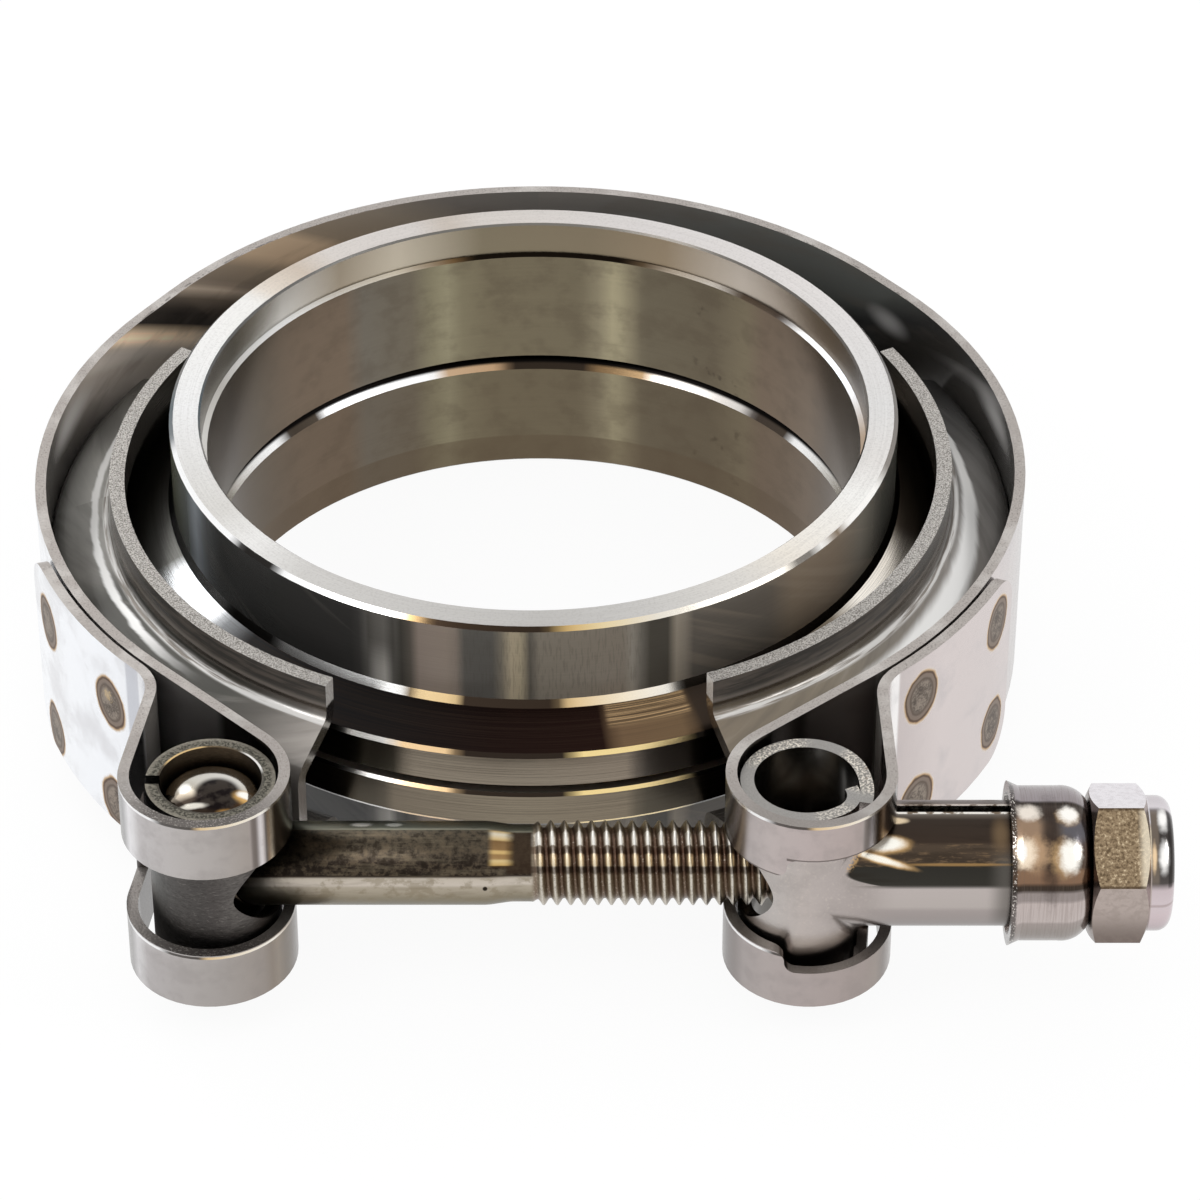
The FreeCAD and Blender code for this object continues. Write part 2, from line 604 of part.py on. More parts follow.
def lock_nut():
    """Hexagon nut with a rounded collar that holds the locking insert."""
    corner_radius = NUT_ACROSS_FLATS / 2 / math.cos(math.radians(30))
    start = FERRULE_END_X
    hex_end = start + NUT_HEX_HEIGHT
    end = start + NUT_HEIGHT
    corners = []
    for index in range(7):
        y, z = polar((0, 0), corner_radius, 60 * index + NUT_TURN_ANGLE)
        corners.append(FreeCAD.Vector(start, BOLT_LINE_Y + y, z))
    prism = Part.Face(Part.makePolygon(corners)).extrude(FreeCAD.Vector(NUT_HEX_HEIGHT, 0, 0))
    chamfer_radius = corner_radius - 2 * NUT_CORNER_CHAMFER
    shell = revolved([
        (start, 0),
        (start, chamfer_radius),
        (start + NUT_CORNER_CHAMFER, corner_radius),
        (hex_end - NUT_CORNER_CHAMFER, corner_radius),
        (hex_end, chamfer_radius),
        (hex_end, 0),
    ], X_AXIS)
    shell.translate(FreeCAD.Vector(0, BOLT_LINE_Y, 0))
    collar = rod(NUT_COLLAR_RADIUS, hex_end - 1, end)
    rim = [edge for edge in collar.Edges if edge.Closed and abs(edge.CenterOfMass.x - end) < 0.01]
    collar = collar.makeFillet(NUT_COLLAR_ROUNDING, rim)
    body = prism.common(shell).fuse(collar)
    insert_end = end - INSERT_COVER
    return body.cut([
        rod(NUT_BORE_RADIUS, start, end),
        rod(INSERT_RADIUS, insert_end - INSERT_HEIGHT, insert_end),
        rod(NUT_MOUTH_RADIUS, insert_end, end),
    ])


def nut_insert():
    """Locking ring held in the collar of the nut."""
    end = FERRULE_END_X + NUT_HEIGHT - INSERT_COVER
    ring = rod(INSERT_RADIUS, end - INSERT_HEIGHT, end)
    return ring.cut(rod(NUT_BORE_RADIUS, end - INSERT_HEIGHT, end))


def build():
    """All pieces by name."""
    half_span = RETAINER_ANGLE / 2
    return {
        "upper_flange": upper_flange(),
        "lower_flange": lower_flange(),
        "strap": strap(),
        "left_retainer": retainer(LEFT_CENTRE, LEFT_RETAINER_END - RETAINER_ANGLE),
        "right_retainer": retainer(RIGHT_CENTRE, RIGHT_RETAINER_END),
        "back_retainer": retainer(BACK_CENTRE, 90 - half_span),
        "left_trunnion": left_trunnion(),
        "t_bolt": t_bolt(),
        "right_trunnion": right_trunnion(),
        "ferrule_cap": ferrule_cap(),
        "lock_nut": lock_nut(),
        "nut_insert": nut_insert(),
    }


os.makedirs("parts", exist_ok=True)
for name, shape in build().items():
    solids = shape.Solids
    piece = solids[0] if len(solids) == 1 else shape
    piece.exportStep("parts/" + name + ".step")
    box = piece.BoundBox
    print(name, "solids", len(solids), "valid", piece.isValid(), "volume", round(piece.Volume, 1),
          "x", round(box.XMin, 2), round(box.XMax, 2),
          "y", round(box.YMin, 2), round(box.YMax, 2),
          "z", round(box.ZMin, 2), round(box.ZMax, 2))
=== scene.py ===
import math

import bmesh
import bpy
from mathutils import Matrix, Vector


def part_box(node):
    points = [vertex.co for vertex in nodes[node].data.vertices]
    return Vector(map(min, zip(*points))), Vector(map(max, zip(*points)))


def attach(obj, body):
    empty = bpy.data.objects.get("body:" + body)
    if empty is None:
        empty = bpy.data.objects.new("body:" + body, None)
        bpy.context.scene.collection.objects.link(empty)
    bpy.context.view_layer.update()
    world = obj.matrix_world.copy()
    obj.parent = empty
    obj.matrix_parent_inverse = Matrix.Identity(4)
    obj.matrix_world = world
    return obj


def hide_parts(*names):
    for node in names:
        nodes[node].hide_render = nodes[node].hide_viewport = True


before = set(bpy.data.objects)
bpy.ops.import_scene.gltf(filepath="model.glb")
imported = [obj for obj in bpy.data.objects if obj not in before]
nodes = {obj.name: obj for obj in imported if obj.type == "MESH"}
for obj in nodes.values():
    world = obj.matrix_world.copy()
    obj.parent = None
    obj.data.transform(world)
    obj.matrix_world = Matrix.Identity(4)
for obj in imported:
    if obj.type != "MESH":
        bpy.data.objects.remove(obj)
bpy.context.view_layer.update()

MM = 0.001

# Places repeated from the part's source, in millimetres
LEFT_CENTRE = (-2.9, -3.3)
RIGHT_CENTRE = (2.4, -2.0)
BACK_CENTRE = (0.0, 0.9)
STRAP_OUTSIDE = 46.0
PANEL_OUTSIDE = 47.35
BOLT_Y = -51.4
HEAD_X = -28.95
RIGHT_LOOP_X = 25.8
LEFT_LOOP_X = -29.5
WELD_STRETCH = 1.5
FLANK_GAIN = 1.9


class Value:
    """A socket or a number that takes part in sums."""

    def __init__(self, graph, socket):
        self.graph = graph
        self.socket = socket

    def __add__(self, other):
        return self.graph.math("ADD", self, other)

    def __radd__(self, other):
        return self.graph.math("ADD", other, self)

    def __sub__(self, other):
        return self.graph.math("SUBTRACT", self, other)

    def __rsub__(self, other):
        return self.graph.math("SUBTRACT", other, self)

    def __mul__(self, other):
        return self.graph.math("MULTIPLY", self, other)

    def __rmul__(self, other):
        return self.graph.math("MULTIPLY", other, self)

    def __truediv__(self, other):
        return self.graph.math("DIVIDE", self, other)

    def __neg__(self):
        return self.graph.math("MULTIPLY", self, -1.0)


class Graph:
    """A procedural metal material whose maths runs on object coordinates in millimetres."""

    def __init__(self, name):
        self.material = bpy.data.materials.new(name)
        self.material.use_nodes = True
        self.tree = self.material.node_tree
        self.tree.nodes.clear()
        self.shader = self.tree.nodes.new("ShaderNodeBsdfPrincipled")
        output = self.tree.nodes.new("ShaderNodeOutputMaterial")
        self.tree.links.new(self.shader.outputs[0], output.inputs[0])
        coordinates = self.tree.nodes.new("ShaderNodeTexCoord")
        scale = self.tree.nodes.new("ShaderNodeVectorMath")
        scale.operation = "SCALE"
        scale.inputs["Scale"].default_value = 1000.0
        self.tree.links.new(coordinates.outputs["Object"], scale.inputs[0])
        self.point = scale.outputs[0]
        self.x, self.y, self.z = self.split(self.point)
        self.nx, self.ny, self.nz = self.split(coordinates.outputs["Normal"])

    def plug(self, value, socket):
        """Links or sets a socket. Three numbers are a screen colour, four a linear one."""
        if isinstance(value, Value):
            self.tree.links.new(value.socket, socket)
        elif isinstance(value, bpy.types.NodeSocket):
            self.tree.links.new(value, socket)
        elif isinstance(value, (tuple, list)) and len(socket.default_value) == 4 and len(value) == 3:
            socket.default_value = (*seen(*value), 1.0)
        else:
            socket.default_value = value

    def split(self, socket):
        node = self.tree.nodes.new("ShaderNodeSeparateXYZ")
        self.tree.links.new(socket, node.inputs[0])
        return [Value(self, output) for output in node.outputs]

    def join(self, x, y, z):
        node = self.tree.nodes.new("ShaderNodeCombineXYZ")
        for value, socket in zip((x, y, z), node.inputs):
            self.plug(value, socket)
        return node.outputs[0]

    def math(self, operation, first, second=0.0, clamp=False):
        node = self.tree.nodes.new("ShaderNodeMath")
        node.operation = operation
        node.use_clamp = clamp
        self.plug(first, node.inputs[0])
        self.plug(second, node.inputs[1])
        return Value(self, node.outputs[0])

    def clamp(self, value):
        return self.math("ADD", value, 0.0, clamp=True)

    def absolute(self, value):
        return self.math("ABSOLUTE", value)

    def smaller(self, first, second):
        return self.math("MINIMUM", first, second)

    def larger(self, first, second):
        return self.math("MAXIMUM", first, second)

    def step(self, value, low, high):
        """0 below low, 1 above high, smooth between. Low may be the larger number."""
        node = self.tree.nodes.new("ShaderNodeMapRange")
        node.interpolation_type = "SMOOTHSTEP"
        rising = high > low
        self.plug(value, node.inputs["Value"])
        node.inputs["From Min"].default_value = low if rising else high
        node.inputs["From Max"].default_value = high if rising else low
        node.inputs["To Min"].default_value = 0.0 if rising else 1.0
        node.inputs["To Max"].default_value = 1.0 if rising else 0.0
        return Value(self, node.outputs["Result"])

    def band(self, value, low, high, soft):
        """1 between low and high, with soft edges outside."""
        return self.step(value, low - soft, low) * self.step(value, high + soft, high)

    def radius(self, x, y):
        return self.math("SQRT", x * x + y * y)

    def angle(self, x, y):
        """Degrees from the first axis, -180 to 180."""
        return self.math("ARCTAN2", y, x) * (180 / math.pi)

    def near_angle(self, x, y, degrees, full, soft):
        """1 within full degrees of a direction, fading to 0 over the soft degrees outside it."""
        a = math.radians(degrees)
        cosine = (x * math.cos(a) + y * math.sin(a)) / self.radius(x, y)
        return self.step(cosine, math.cos(math.radians(min(full + soft, 180))), math.cos(math.radians(full)))

    def noise(self, scale, detail=3.0, stretch=None, rough=0.55, distortion=0.0, shift=0.0):
        """Noise from 0 to 1. Scale is cells per millimetre, stretch the vector it runs on."""
        node = self.tree.nodes.new("ShaderNodeTexNoise")
        node.inputs["Scale"].default_value = scale
        node.inputs["Detail"].default_value = detail
        node.inputs["Roughness"].default_value = rough
        node.inputs["Distortion"].default_value = distortion
        source = stretch if stretch is not None else self.point
        if shift:
            move = self.tree.nodes.new("ShaderNodeVectorMath")
            move.inputs[1].default_value = (shift, shift * 0.7, shift * 1.3)
            self.plug(source, move.inputs[0])
            source = move.outputs[0]
        self.plug(source, node.inputs["Vector"])
        return Value(self, node.outputs[0])

    def mix(self, share, first, second):
        """Colour between two colours."""
        node = self.tree.nodes.new("ShaderNodeMix")
        node.data_type = "RGBA"
        self.plug(share, node.inputs["Factor"])
        self.plug(first, node.inputs[6])
        self.plug(second, node.inputs[7])
        return node.outputs[2]

    def shade(self, colour, factor):
        """Colour times a number."""
        node = self.tree.nodes.new("ShaderNodeVectorMath")
        node.operation = "SCALE"
        self.plug(colour, node.inputs[0])
        self.plug(factor, node.inputs["Scale"])
        return node.outputs[0]

    def ramp(self, value, stops):
        """Colour by value from 0 to 1. Stops are (place, red, green, blue) or (place, level)."""
        node = self.tree.nodes.new("ShaderNodeValToRGB")
        node.color_ramp.interpolation = "LINEAR"
        elements = node.color_ramp.elements
        while len(elements) > 1:
            elements.remove(elements[-1])
        elements[0].position = stops[0][0]
        for i, (place, *tone) in enumerate(stops):
            element = elements.new(place) if i else elements[0]
            element.color = (*(seen(*tone) if len(tone) == 3 else tone * 3), 1.0)
        self.plug(value, node.inputs[0])
        return node.outputs[0]

    def choose(self, value, first, second):
        """The first number where the value is below zero, the second above."""
        share = self.math("GREATER_THAN", value, 0.0)
        return first + (second - first) * share

    def around(self, degrees, stops):
        """Colour by direction. Stops start at -180 degrees, and the last runs on into the first."""
        turns = [((place + 180) / 360, *tone) for place, *tone in stops]
        if turns[-1][0] < 1.0:
            turns.append((1.0, *turns[0][1:]))
        return self.ramp((degrees + 180.0) / 360.0, turns)

    def blob(self, colour, paint, across, along, middle, half, soft=0.4, share=1.0, ragged=0.0):
        """Paints a soft-edged ellipse over a colour. Middle and half sizes are (across, along)."""
        u = (across - middle[0]) * (1 / half[0])
        v = (along - middle[1]) * (1 / half[1])
        away = self.radius(u, v) + ragged
        return self.mix(self.step(away, 1.0 + soft, 1.0 - soft) * share, colour, paint)

    def blobs(self, colour, across, along, ragged, spots):
        """Paints ellipses one after the other, each (paint, middle, half, soft, share)."""
        for paint, middle, half, soft, share in spots:
            colour = self.blob(colour, paint, across, along, middle, half, soft, share, ragged)
        return colour

    def finish(self, colour, rough, height=None, depth=0.02, metallic=1.0):
        """Wires the shader. Depth is the bump's height in millimetres."""
        self.plug(colour, self.shader.inputs["Base Color"])
        self.plug(rough, self.shader.inputs["Roughness"])
        self.plug(metallic, self.shader.inputs["Metallic"])
        if height is not None:
            bump = self.tree.nodes.new("ShaderNodeBump")
            bump.inputs["Strength"].default_value = 1.0
            bump.inputs["Distance"].default_value = depth * MM
            self.plug(height, bump.inputs["Height"])
            self.tree.links.new(bump.outputs[0], self.shader.inputs["Normal"])
        return self.material


def seen(red, green, blue):
    """Linear colour of a screen colour from 0 to 255."""
    return tuple(v / 255 / 12.92 if v <= 10 else ((v / 255 + 0.055) / 1.055) ** 2.4
                 for v in (red, green, blue))


def dress(names, material):
    """Gives CAD nodes a material."""
    for name in names:
        slots = nodes[name].material_slots
        for slot in slots:
            slot.material = material


def flange_material():
    g = Graph("turned_stainless")
    r = g.radius(g.x, g.y)
    out = (g.nx * g.x + g.ny * g.y) / r
    up = g.absolute(g.nz)
    height = g.absolute(g.z)
    azimuth = g.angle(g.x, g.y)

    # Turning marks run round the axis, so they vary with radius and height only
    rings = g.noise(9.0, 4.0, g.join(r, g.z, azimuth * 0.004))
    fine = g.noise(26.0, 2.0, g.join(r, g.z, azimuth * 0.02))
    patch = g.noise(0.30, 5.0, g.join(azimuth * 0.5, g.z * 1.1, 0.0), rough=0.6)
    grain = g.noise(4.0, 4.0)

    # The bore's colour by direction is painted reflection: light bands are painted highlights, and painted
    # shade darkens both ends of the seen arc; it is also browner below the joint.
    bore = g.around(azimuth, [
        (-180, 84, 76, 64), (-20, 84, 76, 64), (22, 88, 76, 64), (30, 114, 99, 84), (44, 116, 101, 86),
        (48, 120, 110, 90), (56, 104, 95, 79), (70, 108, 100, 84), (72.5, 138, 129, 107),
        (75.5, 170, 161, 132), (78.5, 140, 131, 109), (82, 116, 107, 88), (99, 118, 109, 89),
        (104, 128, 120, 98), (107, 148, 141, 116), (110, 134, 127, 104), (114, 112, 104, 90),
        (124, 112, 106, 96), (128, 116, 101, 86), (140, 112, 97, 82), (152, 92, 82, 69), (162, 72, 63, 54),
    ])
    bore = g.mix(g.step(patch, 0.44, 0.66) * 0.30, bore, (84, 73, 60))
    bore = g.mix(g.step(g.noise(0.5, 4.0, shift=8.0), 0.60, 0.70) * g.band(azimuth, 50, 58, 3) * 0.5,
                 bore, (60, 52, 42))
    bore = g.mix(g.step(g.z, -1.0, -2.2) * 0.30, bore, (84, 70, 55))
    bore = g.shade(bore, 0.90 + rings * 0.2)

    # Counterbore above the ledge, and the groove at the joint. Their colours by direction are painted
    # reflections: bright sweeps on the counterbore, painted highlights and dark reflections on the ledges and
    # on the joint's chamfer, and painted shade as a near-black line in the groove.
    counter = g.around(azimuth, [
        (-180, 116, 112, 104), (0, 120, 108, 96), (25, 150, 134, 118), (50, 196, 186, 174),
        (66, 150, 134, 112), (80, 134, 122, 102), (100, 132, 122, 102), (116, 196, 186, 168),
        (128, 160, 148, 130), (142, 214, 211, 205), (158, 120, 118, 112),
    ])
    ledge = g.around(azimuth, [
        (-180, 205, 203, 198), (0, 170, 150, 130), (18, 226, 232, 238), (32, 214, 214, 214),
        (40, 60, 52, 46), (50, 90, 78, 66), (56, 230, 226, 220), (64, 220, 212, 200), (70, 120, 104, 84),
        (74, 34, 28, 24), (102, 38, 32, 26), (106, 150, 122, 88), (116, 232, 226, 214),
        (140, 235, 235, 235), (165, 180, 176, 170),
    ])
    lip = g.around(azimuth, [
        (-180, 120, 120, 120), (14, 200, 198, 196), (20, 252, 252, 252), (35, 252, 252, 252),
        (37.5, 70, 62, 54), (46, 64, 56, 50), (49.5, 214, 209, 204), (67, 214, 207, 200),
        (70, 128, 106, 78), (79, 110, 88, 62), (81.5, 48, 40, 33), (95, 48, 40, 33), (98, 184, 152, 118),
        (107, 196, 166, 134), (110, 250, 250, 250), (132, 250, 250, 250), (135, 70, 62, 54),
        (142, 66, 58, 50), (145.5, 252, 252, 252), (160, 252, 252, 252), (172, 140, 138, 136),
    ])
    groove = g.mix(g.step(g.z, -2.05, -2.3), (14, 12, 11), lip)
    bore = g.mix(g.step(g.z, 11.55, 11.7), bore, counter)
    bore = g.mix(g.step(g.z, -11.5, -11.7) * 0.5, bore, (92, 78, 62))

    # The neck's colour by direction is a painted reflection of the dark retainers round it, with a few narrow
    # painted highlights and painted light and dark streaks.
    neck = g.around(azimuth, [
        (-180, 60, 60, 52), (-168, 66, 67, 57), (-159, 68, 70, 68), (-155, 98, 102, 106),
        (-151, 58, 59, 59), (-146, 33, 33, 32), (-117, 33, 32, 31), (-114.6, 66, 64, 61),
        (-113, 130, 127, 122), (-111.8, 90, 88, 84), (-110.8, 40, 38, 35), (-108.6, 44, 42, 38),
        (-106.8, 94, 85, 78), (-101.6, 92, 83, 75), (-99.8, 54, 52, 49), (-94.6, 54, 52, 49),
        (-93.2, 110, 101, 85), (-91.3, 104, 96, 80), (-90.4, 34, 32, 30), (-89.2, 80, 75, 67),
        (-76, 84, 78, 70), (-74, 98, 94, 87), (-72.6, 50, 47, 42), (-68.2, 48, 45, 40),
        (-67, 122, 114, 102), (-65.6, 64, 60, 55), (-51, 68, 63, 57), (-46, 88, 78, 66), (-36, 88, 78, 67),
        (-28, 82, 78, 71), (-19, 47, 46, 42),
    ])
    neck = g.mix(g.band(azimuth, -115, -111, 0.6) * g.step(g.z, 7.5, 12.0) * 0.8, neck, (46, 44, 41))
    woven = g.noise(1.0, 2.0, g.join(azimuth * 3.4, g.z * 0.5, 0.0))
    neck = g.mix(g.step(woven, 0.50, 0.62) * g.band(azimuth, -99, -75, 4) * 0.22, neck, (44, 41, 37))
    slant = g.noise(0.5, 3.0, g.join(azimuth * 0.32 + g.z * 0.9, g.z * 0.1, 0.0))
    neck = g.mix(g.step(slant, 0.50, 0.64) * g.band(azimuth, -64, -20, 4) * 0.22, neck, (104, 94, 82))
    neck = g.mix(g.step(slant, 0.46, 0.36) * g.band(azimuth, -150, -118, 8) * 0.2, neck, (62, 60, 56))
    neck = g.shade(neck, 2.06 + rings * 0.48)

    # The flank's colour by direction is a painted reflection: dark in the middle, with a gold part and two
    # white ends as painted highlights.
    cone = g.around(azimuth, [
        (-180, 90, 88, 84), (-168, 110, 110, 106), (-160, 120, 120, 116), (-157, 240, 243, 246),
        (-146, 250, 252, 255), (-143, 120, 122, 124), (-137, 30, 31, 32), (-110, 28, 26, 26),
        (-95, 30, 20, 18), (-80, 34, 21, 18), (-78, 112, 90, 68), (-68.5, 112, 91, 68), (-66, 52, 44, 38),
        (-48, 56, 48, 41), (-38, 120, 110, 96), (-31, 246, 240, 230), (-20, 236, 228, 216),
        (-12, 90, 80, 68), (60, 60, 54, 48),
    ])
    lined = g.mix(g.step(rings, 0.40, 0.62), (176, 148, 112), (104, 84, 62))
    cone = g.mix(g.band(azimuth, -78.5, -67.5, 1.0) * g.step(r, 38.9, 38.2), cone, lined)
    cone = g.mix(g.step(rings, 0.40, 0.66) * 0.25, cone, (60, 48, 38))

    # The rims' colour by direction is painted reflection, with painted shade towards both ends of the seen
    # arc; the line along their joint edges is a painted highlight.
    upper_rim = g.around(azimuth, [
        (-180, 60, 56, 52), (-116, 30, 27, 25), (-113.5, 62, 59, 50), (-108, 70, 66, 57),
        (-106.5, 136, 126, 112), (-90, 140, 130, 116), (-77, 142, 130, 116), (-75.5, 88, 82, 76),
        (-69.5, 84, 78, 72), (-66, 30, 24, 20), (-50, 40, 36, 32),
    ])
    lower_rim = g.around(azimuth, [
        (-180, 60, 56, 52), (-118, 30, 27, 25), (-115.5, 78, 73, 64), (-110, 84, 79, 70),
        (-108.5, 124, 114, 100), (-92, 134, 124, 108), (-77, 130, 119, 103), (-75.5, 86, 81, 71),
        (-69.5, 78, 73, 64), (-66, 30, 24, 20), (-50, 40, 36, 32),
    ])
    rim = g.mix(g.step(g.z, 0.1, -0.1), upper_rim, lower_rim)
    rim = g.mix(g.step(rings, 0.40, 0.68) * 0.45, rim, (78, 70, 60))
    rim_highlight = g.around(azimuth, [
        (-180, 60, 56, 52), (-117, 40, 36, 32), (-114, 214, 212, 208), (-109, 214, 212, 208),
        (-107, 240, 206, 160), (-101, 236, 200, 152), (-99.5, 48, 40, 34), (-85, 48, 40, 34),
        (-83.5, 240, 214, 150), (-70, 240, 216, 158), (-68, 40, 36, 32),
    ])

    # The end face's colour by direction is painted light, brighter or duller round the ring, with random
    # darker grain over it.
    end = g.around(azimuth, [
        (-180, 234, 234, 234), (-150, 214, 212, 208), (-140, 232, 231, 229), (-128, 205, 203, 200),
        (-108, 198, 196, 193), (-88, 190, 188, 185), (-72, 200, 198, 195), (-55, 220, 217, 212),
        (-45, 236, 230, 220), (-26, 244, 243, 240), (-15, 226, 223, 220), (0, 224, 223, 222),
        (40, 226, 222, 220), (72, 218, 214, 212), (100, 212, 206, 200), (106, 200, 190, 180),
        (112, 214, 209, 205), (128, 216, 210, 205), (135, 205, 192, 178), (143, 226, 216, 204),
        (147, 240, 239, 236),
    ])
    end = g.mix(g.step(grain, 0.50, 0.62) * 0.16, end, (150, 146, 142))
    end = g.mix(g.step(rings, 0.36, 0.66) * 0.14, end, (150, 146, 142))

    # Painted highlights and painted dark reflections along the edge breaks: the mouth of the pipe, and the
    # fillet under the neck.
    mouth = g.around(azimuth, [
        (-180, 70, 85, 92), (-172, 120, 125, 128), (-168, 250, 250, 250), (-143, 250, 250, 250),
        (-140.5, 40, 38, 36), (-133, 44, 42, 40), (-130.5, 250, 250, 250), (-111, 248, 246, 242),
        (-108.5, 190, 158, 112), (-105, 58, 46, 36), (-87.5, 52, 42, 34), (-84, 206, 174, 116),
        (-79, 228, 208, 164), (-70, 226, 220, 208), (-49, 222, 216, 206), (-45, 112, 108, 102),
        (-42, 120, 116, 110), (-39, 242, 240, 236), (-35.5, 110, 88, 60), (-32, 248, 246, 242),
        (-22, 250, 248, 244), (-16, 140, 134, 128), (10, 96, 92, 88), (90, 118, 114, 108),
        (170, 96, 96, 96),
    ])
    fillet = g.around(azimuth, [
        (-180, 60, 60, 58), (-171, 130, 132, 134), (-168, 240, 242, 245), (-147, 240, 242, 245),
        (-143, 60, 58, 56), (-133, 56, 54, 52), (-130.5, 232, 232, 232), (-110, 236, 236, 234),
        (-108.3, 130, 112, 86), (-106.6, 230, 202, 154), (-101.5, 228, 198, 148), (-100, 58, 48, 40),
        (-86, 54, 44, 36), (-84, 222, 192, 142), (-76, 242, 228, 202), (-68.5, 246, 241, 232),
        (-66.5, 80, 72, 64), (-40, 60, 54, 48),
    ])

    inside = g.step(out, -0.3, -0.7)
    sloped = g.band(up, 0.80, 0.965, 0.02) * g.step(r, 35.6, 36.0)
    flat = g.step(up, 0.965, 0.985)
    wide = g.step(r, 38.5, 40.5)
    broken = g.band(up, 0.25, 0.80, 0.03)

    colour = g.mix(wide, neck, rim)
    colour = g.mix(inside, colour, bore)
    colour = g.mix(sloped, colour, cone)
    colour = g.mix(flat, colour, end)
    colour = g.mix(flat * g.step(height, 12.5, 12.0), colour, ledge)
    inner = g.step(r, 34.3, 34.0) * g.band(g.z, -3.5, -1.0, 0.1)
    colour = g.mix(broken, colour, g.mix(g.step(height, 9.0, 10.0), fillet, mouth))
    colour = g.mix(broken * wide, colour, rim_highlight)
    colour = g.mix(broken * inner, colour, groove)
    ledges = g.step(r, 33.0, 32.85) * g.band(height, 11.2, 11.75, 0.1) * g.step(up, 0.3, 0.5)
    colour = g.mix(ledges, colour, ledge)
    rough = flat * 0.22 + 0.24
    bump = rings * 0.6 + fine * 0.4 + flat * grain
    sheltered = (1.0 - wide) * (1.0 - inside) * (1.0 - flat) * g.step(up, 0.3, 0.1) * g.step(r, 35.4, 35.6)
    return g.finish(colour, rough, bump, 0.006, 1.0 - sheltered * 0.85)


WELDS = [
    (LEFT_CENTRE, 202.6, 4.9), (LEFT_CENTRE, 202.6, -8.2),
    (LEFT_CENTRE, 218.8, 4.1), (LEFT_CENTRE, 218.6, -8.2),
    (RIGHT_CENTRE, -26.9, 6.4), (RIGHT_CENTRE, -26.9, -5.9),
    (RIGHT_CENTRE, -43.4, 6.2), (RIGHT_CENTRE, -43.4, -6.4),
]


